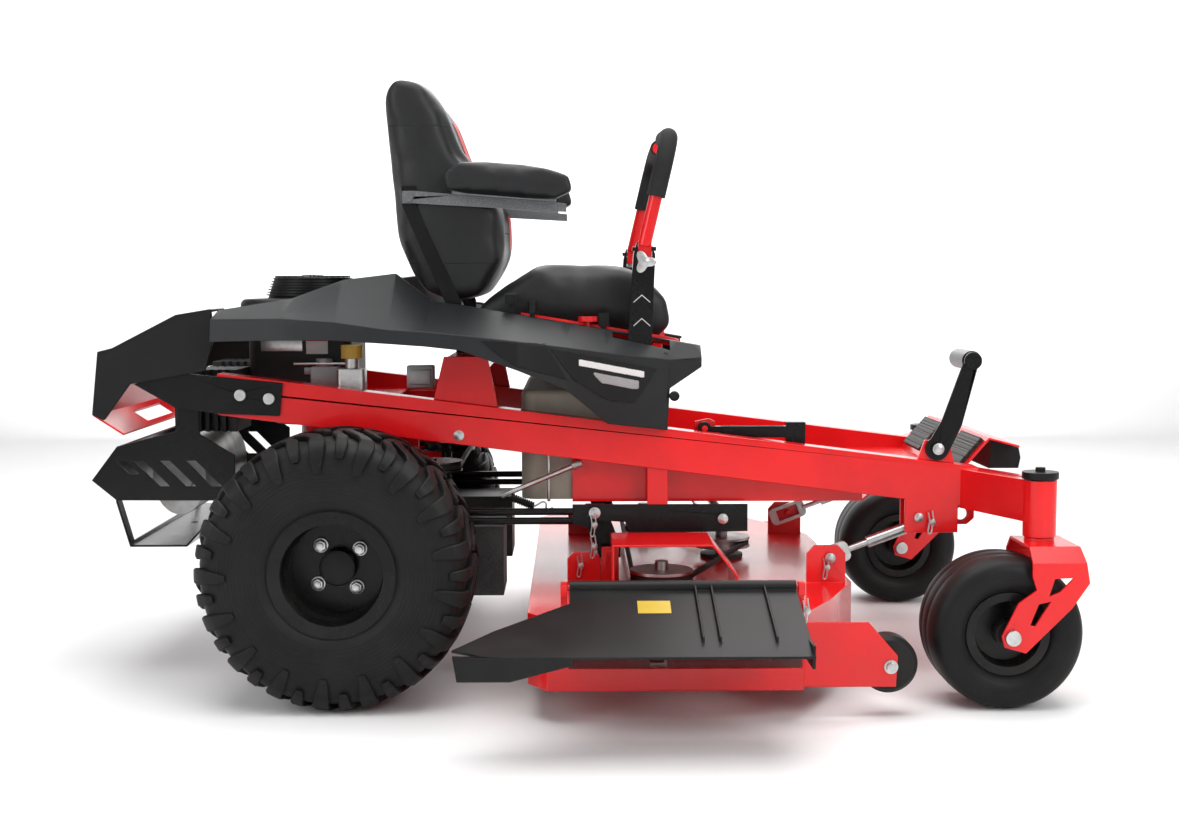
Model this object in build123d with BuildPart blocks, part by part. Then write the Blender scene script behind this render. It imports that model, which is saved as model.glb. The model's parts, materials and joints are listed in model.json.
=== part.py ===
from build123d import *
import os
from math import atan2, cos, degrees, hypot, radians, sin

os.makedirs("parts", exist_ok=True)

# Zero turn mower, millimetres. While it is modelled, x is forward from the drive axle, y is left of
# the centre line and z is up from the ground. The right side is at negative y. The finished pieces
# are moved so that the origin is under the middle of the whole machine.

# ---- driving dimensions --------------------------------------------------------------------------
wheelbase = 1216.0
drive_tyre_radius = 254.0
drive_tyre_width = 250.0
drive_track = 910.0
drive_rim_radius = 115.0
drive_rim_width = 224.0
wheel_disc_offset = 8.0
lug_circle = 101.6
lug_count = 4
axle_radius = 16.0

caster_tyre_radius = 139.7
caster_tyre_width = 152.0
caster_track = 980.0
caster_rim_radius = 76.0
caster_trail = 70.0
caster_tube_radius = 30.0
caster_tube_low = 309.0
caster_tube_high = 413.0
spindle_radius = 16.0
fork_thickness = 6.0
fork_top = 300.0
fork_gap = 9.0

rail_gauge = 590.0
rail_width = 50.0
rail_height = 80.0
rail_wall = 4.0
rail_rear = -250.0
rail_front = 1215.0
rail_top_at_axle = 570.0
rail_slope = -0.126

running_gap = 0.05
touch_gap = 0.3
sheet = 4.0
plate = 6.0
pin_radius = 6.0

deck_low = 60.0
deck_top = 190.0
deck_half_width = 635.0
deck_rear = 350.0
deck_front = 975.0
outer_spindle_x = 598.0
outer_spindle_y = 400.0
centre_spindle_x = 748.0
blade_length = 420.0
blade_width = 62.0
pulley_radius = 60.0
groove_depth = 10.0
belt_height = 223.0
belt_thickness = 9.0
gauge_wheel_radius = 52.0
gauge_wheel_x = 994.0
gauge_wheel_z = 94.0
gauge_plate_y = 600.0

crank_x = -129.0
pump_x = 150.0
pump_y = 205.0
pump_belt_height = 410.0

console_rear_z = 731.0
console_rear_x = 215.0
console_slope = -0.167
console_y = 270.0

lever_pivot = (560.0, 600.0)
lever_y = 305.0
swing_pivot_z = 838.0
bar_radius = 12.7
grip_radius = 18.0

throttle_pivot = (312.0, 690.0)
seat_pivot = (600.0, 645.0)
seat_half_width = 235.0
armrest_pivot = (112.0, 940.0)

pedal_pivot = (1137.0, 452.0)
arm_pivot = (723.0, 317.0)
arm_pin = (473.0, 327.0)
link_pivot = (1125.0, 312.0)
deck_pin = (930.0, 240.0)
height_pivot = (690.0, 488.0)

axle_z = drive_tyre_radius
drive_y = drive_track / 2
caster_y = caster_track / 2
caster_pivot_x = wheelbase + caster_trail
rail_inner = (rail_gauge - rail_width) / 2
rail_outer = (rail_gauge + rail_width) / 2


# ---- helpers -------------------------------------------------------------------------------------
def rail_top(x):
    return rail_top_at_axle + rail_slope * x


def rail_bottom(x):
    return rail_top(x) - rail_height


def console_z(x):
    return console_rear_z + console_slope * (x - console_rear_x)


def side(y):
    """Upright plane along the machine at y: sketch x is x, sketch y is z, it extrudes towards -y."""
    return Plane(origin=(0, y, 0), x_dir=(1, 0, 0), z_dir=(0, -1, 0))


def level(z):
    return Plane.XY.offset(z)


def cross(x):
    """Upright plane across the machine at x: sketch x is y, sketch y is z, it extrudes towards +x."""
    return Plane.YZ.offset(x)


def outline(plane, points):
    with BuildSketch(plane) as drawn:
        with BuildLine():
            Polyline(*points, close=True)
        make_face()
    return drawn.sketch


def discs(plane, centres, radius):
    with BuildSketch(plane) as drawn:
        with Locations(*centres):
            Circle(radius)
    return drawn.sketch


def beside(points, distance):
    """The same open path moved sideways, to the right of its direction for a positive distance."""
    moved = []
    for i, (x, z) in enumerate(points):
        before = points[i - 1] if i else None
        after = points[i + 1] if i + 1 < len(points) else None
        turns = []
        for start, end in ((before, (x, z)), ((x, z), after)):
            if start and end:
                turns.append(atan2(end[1] - start[1], end[0] - start[0]))
        middle = sum(turns) / len(turns)
        reach = distance / cos((turns[-1] - turns[0]) / 2)
        moved.append((x + reach * sin(middle), z - reach * cos(middle)))
    return moved


def strip(points, thickness):
    """Closed outline of a bent sheet whose upper or left face follows the points."""
    return list(points) + beside(points, thickness)[::-1]


def block(low, high, mode=Mode.ADD):
    middle = [(a + b) / 2 for a, b in zip(low, high)]
    size = [b - a for a, b in zip(low, high)]
    with Locations(tuple(middle)):
        Box(*size, mode=mode)


def rod(start, end, radius, mode=Mode.ADD):
    start, end = Vector(*start), Vector(*end)
    round_end = discs(Plane(origin=start, z_dir=end - start), [(0, 0)], radius)
    extrude(round_end, amount=(end - start).length, mode=mode)


def across(x, z, y_from, y_to, radius, mode=Mode.ADD):
    rod((x, y_from, z), (x, y_to, z), radius, mode)


def upright(x, y, z_from, z_to, radius, mode=Mode.ADD):
    rod((x, y, z_from), (x, y, z_to), radius, mode)


def tube_path(points, radii):
    with BuildLine() as path:
        FilletPolyline(*points, radius=radii)
    return path


def ring_profile(points, axis_z, middle_y):
    """Half section of a wheel, given as (y from the wheel's middle, radius), in the plane x = 0."""
    with BuildSketch(Plane.YZ) as drawn:
        with BuildLine():
            Polyline(*[(middle_y + y, axis_z + r) for y, r in points], close=True)
        make_face()
    return drawn.sketch


def both_sides(part):
    return [part, mirror(part, about=Plane.XZ)]


pieces = {}


def keep(name, part):
    part.label = name
    pieces[name] = part


def keep_pair(name, part):
    """The right-hand piece as modelled and the left-hand piece as its mirror image."""
    keep("right_" + name, part)
    keep("left_" + name, mirror(part, about=Plane.XZ))


def keep_both(name, part):
    """Right and left pieces that are one group of solids in one node."""
    solids = [s for half in both_sides(part) for s in half.solids()]
    keep(name, Compound(children=solids))


# ---- frame ---------------------------------------------------------------------------------------
hanger_rear, hanger_front, hanger_low = 1074.0, 1177.0, 289.0
tab_rear, tab_front, tab_low = 575.0, 615.0, 345.0
outrigger = [(1181, -rail_outer), (1181, -rail_inner), (rail_front, -rail_inner), (1309, -480), (1263, -500)]
outrigger_low, outrigger_high = 337.0, 413.0
rail_profile = [
    (rail_rear, rail_top(rail_rear)), (rail_front, rail_top(rail_front)),
    (rail_front, rail_bottom(rail_front)), (rail_rear, rail_bottom(rail_rear)),
]
rail_bore = [
    (rail_rear - 1, rail_top(rail_rear - 1) - rail_wall), (1170, rail_top(1170) - rail_wall),
    (1170, rail_bottom(1170) + rail_wall), (rail_rear - 1, rail_bottom(rail_rear - 1) + rail_wall),
]
hanger = [
    (hanger_rear, hanger_low), (hanger_front, hanger_low),
    (hanger_front, rail_bottom(hanger_front)), (hanger_rear, rail_bottom(hanger_rear)),
]
tie_loop = [(1150, rail_bottom(1150)), (1150, 302), (1200, 302), (1214, 314), (1214, rail_bottom(1214))]
drop_tab = [
    (tab_rear, rail_bottom(tab_rear)), (tab_rear, tab_low),
    (tab_front, tab_low), (tab_front, rail_bottom(tab_front)),
]
frame_bolts = [(-205, 560), (-150, 553)]
bolt_radius, bolt_clearance = 5.0, 0.3

with BuildPart() as frame_rail:
    extrude(outline(side(-rail_inner), rail_profile), amount=rail_width)
    extrude(outline(level(outrigger_low), outrigger), amount=outrigger_high - outrigger_low)
    upright(caster_pivot_x, -caster_y, caster_tube_low, caster_tube_high, caster_tube_radius)
    extrude(outline(side(-rail_inner - rail_wall), rail_bore), amount=rail_width - 2 * rail_wall,
            mode=Mode.SUBTRACT)
    upright(caster_pivot_x, -caster_y, caster_tube_low, caster_tube_high,
            spindle_radius + running_gap, Mode.SUBTRACT)
    for y in (-rail_inner, -rail_outer + plate):
        extrude(outline(side(y), hanger), amount=plate)
    extrude(outline(side(-292), tie_loop), amount=plate)
    extrude(discs(side(-291), [(1188, 323)], 12), amount=8, mode=Mode.SUBTRACT)
    extrude(outline(side(-306), drop_tab), amount=plate)
    across(*link_pivot, -rail_inner + 1, -rail_outer - 1, pin_radius, Mode.SUBTRACT)
    for x, z in frame_bolts:
        across(x, z, -rail_outer - 1, -rail_outer + rail_wall + 1, bolt_radius + bolt_clearance,
               Mode.SUBTRACT)
keep_both("frame_rails", frame_rail.part)

# front tube, engine plate, seat tower and drive hangers, all between or on the rails
front_tube = (1130.0, 1180.0)
front_tube_low, front_tube_high = 352.0, 392.0
engine_plate_z = 530.0
tower_rear, tower_front, tower_top = 163.0, 287.0, 632.0
tower_y = 300.0
post_rear, post_front = 578.0, 606.0
post_y = 273.0
drive_hanger = (-90.0, 130.0)
casting_top = 300.0

with BuildPart() as front_cross_tube:
    block((front_tube[0], -rail_inner, front_tube_low), (front_tube[1], rail_inner, front_tube_high))
    block((front_tube[0] + 4, -rail_inner, front_tube_low + 4),
          (front_tube[1] - 4, rail_inner, front_tube_high - 4), Mode.SUBTRACT)

with BuildPart() as engine_plate:
    block((-228, -rail_inner, engine_plate_z), (60, rail_inner, engine_plate_z + plate))
    upright(crank_x, 0, engine_plate_z, engine_plate_z + plate, 70, Mode.SUBTRACT)

with BuildPart() as seat_tower:
    for y in (-tower_y, tower_y + plate):
        posts = [(tower_rear, rail_top(tower_rear)), (tower_front, rail_top(tower_front)),
                 (tower_front - 20, tower_top), (tower_rear + 20, tower_top)]
        extrude(outline(side(y), posts), amount=plate)
    block((190, -tower_y, tower_top - 30), (262, tower_y, tower_top))
    block((194, -tower_y, tower_top - 26), (258, tower_y, tower_top - sheet), Mode.SUBTRACT)

with BuildPart() as front_seat_post:
    for y in (-post_y, post_y + plate):
        posts = [(post_rear, rail_top(post_rear)), (post_front, rail_top(post_front)),
                 (post_front, 632), (post_rear, 632)]
        extrude(outline(side(y), posts), amount=plate)
    block((post_rear, -post_y, 604), (post_front, post_y, 632))
    block((post_rear + 4, -post_y, 608), (post_front - 4, post_y, 628), Mode.SUBTRACT)
    for way in (-1, 1):
        lug_y = way * (173.5 + touch_gap)
        across(*seat_pivot, lug_y - 3, lug_y + 3, 11)
        block((seat_pivot[0] - 11, lug_y - 3, 632), (post_front, lug_y + 3, seat_pivot[1]))
        across(*seat_pivot, lug_y, way * 148, 5)

with BuildPart() as drive_hangers:
    for y in (-rail_inner + plate, rail_inner):
        extrude(outline(side(y), [(drive_hanger[0], casting_top), (drive_hanger[1], casting_top),
                                  (drive_hanger[1], engine_plate_z), (drive_hanger[0], engine_plate_z)]),
                amount=plate)

frame_crosses = [front_cross_tube, engine_plate, seat_tower, front_seat_post, drive_hangers]
keep("cross_members", Compound(children=[s for made in frame_crosses for s in made.part.solids()]))

# rear frame plates with the spacer that carries the engine guard, and their carriage bolts
rear_plate = [(-409, 582), (-319, 603), (-124, 583), (-131, 520), (-244, 524), (-330, 536)]
guard_y = 300.0

with BuildPart() as rear_frame_plate:
    extrude(outline(side(-rail_outer), rear_plate), amount=plate)
    block((-325, -rail_outer, 545), (-295, -guard_y - plate, 570))
    for x, z in frame_bolts:
        across(x, z, -rail_outer - plate - 1, -rail_outer + 1, bolt_radius + bolt_clearance,
               Mode.SUBTRACT)

with BuildPart() as carriage_bolts:
    for x, z in frame_bolts:
        across(x, z, -rail_outer - plate, -rail_outer - plate - 5, 11)
        across(x, z, -rail_outer - plate, -rail_outer + 8, bolt_radius)
        across(x, z, -rail_outer + rail_wall, -rail_outer + 8, 9)

plate_and_bolts = [rear_frame_plate, carriage_bolts]
keep("rear_frame_plates", Compound(children=[
    s for made in plate_and_bolts for half in both_sides(made.part) for s in half.solids()]))

# black side guards with their folded tops, and the red panel between them
guard_outer = rail_outer + plate
guard_thick = 8.0
side_guard = [
    (-487, 523), (-474, 644), (-446, 651), (-324, 714), (-258, 725), (-253, 666), (-270, 607),
    (-413, 582), (-464, 513),
]
guard_top = [(-474, 644), (-446, 651), (-324, 714), (-258, 725)]

with BuildPart() as side_guard_part:
    extrude(outline(side(-guard_outer), side_guard), amount=guard_thick)
    extrude(outline(side(-205), strip(guard_top, sheet)), amount=guard_outer - 205)
keep_both("side_guards", side_guard_part.part)

hood_path = [(-430, 483), (-487, 520), (-476, 638)]
with BuildPart() as rear_hood:
    extrude(outline(side(guard_outer), strip(hood_path, sheet)), amount=2 * guard_outer)
    block((-470, -110, 470), (-440, 110, 530), Mode.SUBTRACT)
keep("rear_hood", rear_hood.part)

# lower engine guard with slotted sides, struts and the bottom plate that holds the hitch hole
guard_side = [
    (-499, 394), (-449, 460), (-330, 490), (-330, 568), (-290, 568), (-290, 484), (-222, 442),
    (-224, 354), (-452, 355),
]
guard_wall = [(-449, 460), (-499, 394), (-452, 355)]
skid_path = [(-452, 355), (-427, 267), (-321, 267), (-273, 319)]
slot_rows = [(-452, 26), (-418, 50), (-368, 50), (-318, 50)]
hitch_hole_radius = 8.0

with BuildPart() as engine_guard:
    for y in (-guard_y, guard_y + plate):
        extrude(outline(side(y), guard_side), amount=plate)
        for start, rise in slot_rows:
            slot = [(start, 432), (start + 20, 432), (start + 20 + rise, 432 - rise),
                    (start + rise, 432 - rise)]
            extrude(outline(side(y + 1), slot), amount=plate + 2, mode=Mode.SUBTRACT)
    extrude(outline(side(guard_y), strip(guard_wall, -sheet)), amount=2 * guard_y)
    extrude(outline(side(guard_y), strip(skid_path, sheet)), amount=2 * guard_y)
    block((-460, -guard_y + 30, 272), (-426, guard_y - 30, 350), Mode.SUBTRACT)
    block((-318, -guard_y + 60, 270), (-270, guard_y - 60, 330), Mode.SUBTRACT)
    upright(-375, 0, 260, 270, hitch_hole_radius, Mode.SUBTRACT)
keep("engine_guard", engine_guard.part)

# ---- engine and drive ----------------------------------------------------------------------------
block_low = engine_plate_z + plate
block_high = 690.0
shaft_radius = 14.0
head_rear, head_front = -352.0, -230.0

with BuildPart() as crankcase:
    block((-230, -130, block_low), (-20, 130, block_high))
    fillet(crankcase.edges().filter_by(Axis.Z), 25)
    upright(crank_x, 0, 480, block_low, 66)
    upright(crank_x, 0, 480, 525, shaft_radius + running_gap, Mode.SUBTRACT)

with BuildPart() as cylinders:
    for y in (-240, 100):
        block((head_rear, y, 482), (head_front, y + 140, 604))
        for fin in range(6):
            x = head_rear + 20 + fin * 16
            block((x, y - 1, 480), (x + 8, y + 18, 606), Mode.SUBTRACT)
            block((x, y + 122, 480), (x + 8, y + 141, 606), Mode.SUBTRACT)
    block((head_front - 14, -100, 545), (head_front, 100, 600))
keep("engine_block", Compound(children=[s for made in (crankcase, cylinders) for s in made.part.solids()]))

screen_radius = 93.0
with BuildPart() as blower_housing:
    block((-240, -190, block_high), (0, 190, 742))
    fillet(blower_housing.edges().filter_by(Axis.Z), 60)
    fillet(blower_housing.faces().sort_by(Axis.Z)[-1].edges(), 12)
    with BuildSketch(level(742)):
        with Locations((crank_x + 14, 0)):
            Circle(screen_radius)
    extrude(amount=44, taper=18)
keep("blower_housing", blower_housing.part)

with BuildPart() as muffler:
    with BuildSketch(side(200)):
        with Locations((-355, 387)):
            Ellipse(53, 75)
    extrude(amount=400)
    for y in (-170, 170):
        upright(-335, y, 450, 482, 16)
    across(-355, 387, -200, -216, 30)
keep("muffler", muffler.part)

with BuildPart() as reservoir:
    block((-31, -262, block_low), (24, -212, 606))
    fillet(reservoir.edges().filter_by(Axis.Z), 10)
    upright(-3, -237, 606, 626, 13)
with BuildPart() as reservoir_cap:
    upright(-3, -237, 626, 652, 21)
keep("oil_reservoir", Compound(children=reservoir.part.solids() + reservoir_cap.part.solids()))


def grooved_pulley(x, y, middle_z, radius, thickness):
    """A belt pulley with flat flanges and a square groove."""
    low, high = middle_z - thickness / 2, middle_z + thickness / 2
    upright(x, y, low, high, radius)
    with BuildSketch(level(middle_z - belt_thickness / 2 - 1)) as groove:
        with Locations((x, y)):
            Circle(radius + 1)
            Circle(radius - groove_depth, mode=Mode.SUBTRACT)
    extrude(groove.sketch, amount=belt_thickness + 2, mode=Mode.SUBTRACT)


with BuildPart() as crank_pulley:
    upright(crank_x, 0, 330, 518, shaft_radius)
    grooved_pulley(crank_x, 0, pump_belt_height, pulley_radius, 20)
    upright(crank_x, 0, 320, 370, 78)
keep("crank_pulley", crank_pulley.part)

with BuildPart() as pump_pulley:
    upright(pump_x, -pump_y, 270, 424, 9)
    grooved_pulley(pump_x, -pump_y, pump_belt_height, pulley_radius, 20)
keep_pair("pump_pulley", pump_pulley.part)


def belt_loop(centres, middle_z):
    """A belt drawn tight round pulleys of the same size, seated in their grooves."""
    inner = pulley_radius - groove_depth + touch_gap
    with BuildPart() as belt:
        with BuildSketch(level(middle_z - belt_thickness / 2)):
            with Locations(*centres):
                Circle(inner + 8)
            make_hull()
        extrude(amount=belt_thickness)
        with BuildSketch(level(middle_z - belt_thickness / 2)):
            with Locations(*centres):
                Circle(inner)
            make_hull()
        extrude(amount=belt_thickness, mode=Mode.SUBTRACT)
    return belt.part


keep("pump_belt", belt_loop([(crank_x, 0), (pump_x, -pump_y), (pump_x, pump_y)], pump_belt_height))

with BuildPart() as transaxle:
    block((-75, -325, 180), (110, -180, casting_top))
    block((60, -300, 165), (296, -150, casting_top))
    across(0, axle_z, -326, -200, axle_radius + running_gap, Mode.SUBTRACT)
    upright(pump_x, -pump_y, 268, casting_top + 1, 9 + running_gap, Mode.SUBTRACT)
keep_both("transaxles", transaxle.part)

# ---- drive wheels --------------------------------------------------------------------------------
half_tyre = drive_tyre_width / 2
half_rim = drive_rim_width / 2
tyre_section = [
    (-half_rim + 4.2, 102.5), (-half_rim + 4.2, 118), (-half_tyre, 150), (-half_tyre, 205),
    (-half_tyre + 25, 246), (-60, drive_tyre_radius), (60, drive_tyre_radius), (half_tyre - 25, 246),
    (half_tyre, 205), (half_tyre, 150), (half_rim - 4.2, 118), (half_rim - 4.2, 102.5),
    (half_rim - 18, 102.5), (half_tyre - 13, 152), (half_tyre - 13, 200), (half_tyre - 33, 235),
    (-half_tyre + 33, 235), (-half_tyre + 13, 200), (-half_tyre + 13, 152), (-half_rim + 18, 102.5),
]
wheel_axis = Axis((0, 0, axle_z), (0, 1, 0))
disc_y = -wheel_disc_offset

with BuildPart() as drive_tyre:
    revolve(ring_profile(tyre_section, axle_z, -drive_y), axis=wheel_axis)
keep_pair("drive_tyre", drive_tyre.part)

rim_section = [
    (-half_rim, 92), (-half_rim, drive_rim_radius), (-half_rim + 4, drive_rim_radius),
    (-half_rim + 4, 102), (-half_rim + 40, 102), (-half_rim + 48, 90), (half_rim - 48, 90),
    (half_rim - 40, 102), (half_rim - 4, 102), (half_rim - 4, drive_rim_radius),
    (half_rim, drive_rim_radius), (half_rim, 92), (half_rim - 44, 92), (half_rim - 52, 86),
    (disc_y + 5, 86), (disc_y + 5, 33), (disc_y, 33), (disc_y, 86), (-half_rim + 52, 86),
    (-half_rim + 44, 92),
]
lugs = [(lug_circle / 2 * cos(radians(40 + 90 * i)), lug_circle / 2 * sin(radians(40 + 90 * i)))
        for i in range(lug_count)]

with BuildPart() as drive_rim:
    revolve(ring_profile(rim_section, axle_z, -drive_y), axis=wheel_axis)
    for x, z in lugs:
        across(x, axle_z + z, -drive_y - 30, -drive_y + 30, 7, Mode.SUBTRACT)

with BuildPart() as hub:
    across(0, axle_z, -drive_y + disc_y + 5, -drive_y + disc_y + 15, 72)
    across(0, axle_z, -drive_y + disc_y - 26, -drive_y + disc_y + 5, 32)
    across(0, axle_z, -drive_y + disc_y + 15, -205, axle_radius)
    across(0, axle_z, -drive_y + disc_y + 15, -332, 34)
    for x, z in lugs:
        across(x, axle_z + z, -drive_y + disc_y + 5, -drive_y + disc_y - 20, 6)
        across(x, axle_z + z, -drive_y + disc_y, -drive_y + disc_y - 13, 11)
keep_pair("drive_rim", Compound(children=drive_rim.part.solids() + hub.part.solids()))

# ---- casters -------------------------------------------------------------------------------------
half_caster = caster_tyre_width / 2
fork_inner = half_caster + fork_gap
fork_outer = fork_inner + fork_thickness
fork_side = [
    (1250, 310), (1250, 250), (1258, 225), (1226, 202), (1197, 142), (1202, 122), (1241, 111),
    (1322, 192), (1353, 237), (1345, 285), (1340, 310),
]
fork_windows = [[(1290, 246), (1324, 247), (1300, 222), (1280, 214)],
                [(1262, 200), (1284, 205), (1256, 160), (1247, 162)]]
fork_shape = [
    (-fork_outer, 100), (-fork_outer, 274), (-fork_outer + 26, fork_top), (fork_outer - 26, fork_top),
    (fork_outer, 274), (fork_outer, 100), (fork_inner, 100), (fork_inner, 272),
    (fork_inner - 23, fork_top - fork_thickness), (-fork_inner + 23, fork_top - fork_thickness),
    (-fork_inner, 272), (-fork_inner, 100),
]
caster_axis = Axis((wheelbase, 0, caster_tyre_radius), (0, 1, 0))

with BuildPart() as fork:
    extrude(outline(cross(1180), [(-caster_y + y, z) for y, z in fork_shape]), amount=190)
    extrude(outline(side(-caster_y + 120), fork_side), amount=240, mode=Mode.INTERSECT)
    for window in fork_windows:
        extrude(outline(side(-caster_y + 120), window), amount=240, mode=Mode.SUBTRACT)
    across(wheelbase, caster_tyre_radius, -caster_y + 120, -caster_y - 120, 9, Mode.SUBTRACT)
    upright(caster_pivot_x, -caster_y, fork_top, caster_tube_low - 1, 27)
    upright(caster_pivot_x, -caster_y, fork_top, caster_tube_high + 2, spindle_radius)

with BuildPart() as caster_axle:
    across(wheelbase, caster_tyre_radius, -caster_y - fork_outer, -caster_y + fork_outer, 8.7)
    for start in (-fork_outer, fork_outer + 9):
        across(wheelbase, caster_tyre_radius, -caster_y + start - 9, -caster_y + start, 14)

with BuildPart() as spindle_cap:
    upright(caster_pivot_x, -caster_y, caster_tube_high + 2, caster_tube_high + 15, 33)
    upright(caster_pivot_x, -caster_y, caster_tube_high + 15, caster_tube_high + 23, 9)
keep_pair("caster_fork", Compound(children=fork.part.solids() + caster_axle.part.solids()
                                  + spindle_cap.part.solids()))

caster_section = [
    (-56, caster_rim_radius - 8), (-58, caster_rim_radius + 8), (-half_caster, 96), (-half_caster, 112),
    (-half_caster + 14, 131), (-40, caster_tyre_radius), (40, caster_tyre_radius),
    (half_caster - 14, 131), (half_caster, 112), (half_caster, 96), (58, caster_rim_radius + 8),
    (56, caster_rim_radius - 8), (46, caster_rim_radius - 8), (62, 98), (62, 110), (48, 124),
    (-48, 124), (-62, 110), (-62, 98), (-46, caster_rim_radius - 8),
]
caster_rim_section = [
    (-62, 60), (-62, caster_rim_radius), (-58.5, caster_rim_radius), (-56.5, caster_rim_radius - 8.5),
    (56.5, caster_rim_radius - 8.5), (58.5, caster_rim_radius), (62, caster_rim_radius), (62, 60),
    (30, 54), (30, 24), (68, 24), (68, 9), (-68, 9), (-68, 24), (-30, 24), (-30, 54),
]


def at_caster(points):
    with BuildSketch(Plane.YZ.offset(wheelbase)) as drawn:
        with BuildLine():
            Polyline(*[(-caster_y + y, caster_tyre_radius + r) for y, r in points], close=True)
        make_face()
    return drawn.sketch


with BuildPart() as caster_tyre:
    revolve(at_caster(caster_section), axis=caster_axis)
keep_pair("caster_tyre", caster_tyre.part)

with BuildPart() as caster_rim:
    revolve(at_caster(caster_rim_section), axis=caster_axis)
keep_pair("caster_rim", caster_rim.part)

# ---- floor, foot rest, tank ----------------------------------------------------------------------
floor_path = [(430, 349), (1000, 349), (1056, 396), (1185, 396), (1248, 469), (1309, 453)]
pan_wall = [(430, 349), (1000, 349), (1000, 394), (430, 462)]

with BuildPart() as floor_pan:
    extrude(outline(side(rail_inner), strip(floor_path, sheet)), amount=2 * rail_inner)
    for y in (-rail_inner + sheet, rail_inner):
        extrude(outline(side(y), pan_wall), amount=sheet)
keep("floor_pan", floor_pan.part)

incline = degrees(atan2(73, 63))
mat_plane = Plane(origin=(1185, 0, 396), x_dir=(cos(radians(incline)), 0, sin(radians(incline))),
                  z_dir=(-sin(radians(incline)), 0, cos(radians(incline))))
with BuildPart() as mats:
    with BuildSketch(mat_plane):
        with Locations((50, 172), (50, -172)):
            Rectangle(76, 160)
    extrude(amount=8)
with BuildPart() as nose:
    extrude(outline(side(230), [(1258, 404), (1318, 404), (1322, 425), (1318, 445), (1264, 460)]),
            amount=460)
keep("foot_mats", Compound(children=mats.part.solids() + nose.part.solids()))

tank_top = 565.0
neck_low, neck_high = (430.0, 225.0, tank_top - 10), (430.0, 292.0, 716.0)
with BuildPart() as fuel_tank:
    block((330, -262, 349), (520, 262, tank_top))
    fillet(fuel_tank.edges().filter_by(Axis.Z), 30)
    fillet(fuel_tank.faces().sort_by(Axis.Z)[-1].edges(), 12)
    rod(neck_low, neck_high, 22)
keep("fuel_tank", fuel_tank.part)

neck_way = (Vector(*neck_high) - Vector(*neck_low)).normalized()
cap_base = Vector(*neck_high) + neck_way * touch_gap
with BuildPart() as fuel_cap:
    rod(cap_base, cap_base + neck_way * 26, 36)
keep("fuel_cap", fuel_cap.part)

# ---- fenders -------------------------------------------------------------------------------------
# each station is x and the outer line of the section from the inner top edge to the skirt's foot
shell = 5.0
fender_stations = [
    (-250, [(248, 716), (300, 722), (372, 706), (380, 664)]),
    (-110, [(248, 742), (290, 744), (418, 708), (424, 668)]),
    (-10, [(248, 778), (285, 780), (436, 702), (438, 668)]),
    (90, [(248, 790), (280, 792), (446, 688), (450, 662)]),
    (160, [(248, 738), (290, 738), (448, 684), (452, 657)]),
    (224, [(248, 729), (300, 729), (450, 678), (454, 650)]),
    (330, [(248, 711), (300, 711), (446, 666), (450, 612)]),
    (420, [(248, 696), (300, 696), (424, 654), (420, 574)]),
    (497, [(248, 683), (300, 683), (392, 642), (360, 506)]),
    (612, [(248, 664), (300, 664), (352, 628), (342, 492)]),
    (617, [(248, 663), (300, 663), (350, 627), (342, 572)]),
    (679, [(248, 652), (290, 652), (322, 630), (322, 612)]),
]


def fender_section(x, outer):
    """One closed section of the fender's skin, from its outer line and the skin's thickness."""
    (y0, z0), (y1, z1), (y2, z2), (y3, z3) = outer
    inner = [(y3 - shell, z3), (y2 - shell, z2 - shell - 1), (y1 - 2, z1 - shell), (y0, z0 - shell)]
    with BuildSketch(cross(x)) as drawn:
        with BuildLine():
            Polyline(*[(-y, z) for y, z in outer + inner], close=True)
        make_face()
    return drawn.sketch


leg_wall = [(607, rail_top(607)), (612, rail_top(612)), (612, 640), (607, 640)]
lever_slot_x = (508.0, 618.0)
controls_x = {"throttle_lever": 310.0, "choke_knob": 353.0, "pto_knob": 461.0, "key": 492.0}
stem_radius = 5.0

with BuildPart() as fender:
    for x, outer in fender_stations:
        add(fender_section(x, outer))
    loft(ruled=True)
    extrude(outline(side(-248), leg_wall), amount=90)
    block((lever_slot_x[0], -325, 600), (lever_slot_x[1], -283, 720), Mode.SUBTRACT)

with BuildPart() as right_fender:
    add(fender.part)
    for name in ("choke_knob", "pto_knob", "key"):
        upright(controls_x[name], -console_y, 640, 760, stem_radius + 0.1, Mode.SUBTRACT)
    block((290, -console_y - 6, 660), (334, -console_y + 6, 760), Mode.SUBTRACT)
    for y in (-console_y - 10, -console_y + 6):
        block((304, y, 682), (320, y + 4, 712))
    across(*throttle_pivot, -console_y - 8, -console_y + 8, 3)
keep("right_fender", right_fender.part)

with BuildPart() as left_fender:
    add(mirror(fender.part, about=Plane.XZ))
    rod(neck_low, Vector(*neck_high) + neck_way * 60, 24, Mode.SUBTRACT)
keep("left_fender", left_fender.part)

# ---- brackets on the rails: control levers, pedal and height selector ------------------------------
with BuildPart() as lever_bracket:
    extrude(outline(side(-279 - plate), [(538, rail_top(538)), (575, rail_top(575)), (575, 615), (545, 615)]),
            amount=plate)
    across(*lever_pivot, -290, -319, 8)

with BuildPart() as pedal_bracket:
    extrude(outline(side(-300), [(1100, rail_top(1100)), (1172, rail_top(1172)), (1160, 468), (1114, 468)]),
            amount=plate)
    across(*pedal_pivot, -306, -318, pin_radius)

height_y = 236.0
with BuildPart() as height_quadrant:
    extrude(outline(side(-height_y), [(672, 458), (712, 458), (712, 500), (700, 506), (672, 500)]),
            amount=plate)
    block((672, -rail_inner, 452), (712, -height_y, 458))
    across(*height_pivot, -height_y - plate, -rail_inner + 4, pin_radius)

left_lever_bracket = mirror(lever_bracket.part, about=Plane.XZ)
brackets = [lever_bracket.part, left_lever_bracket, pedal_bracket.part, height_quadrant.part]
keep("pivot_brackets", Compound(children=[s for part in brackets for s in part.solids()]))

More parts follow.
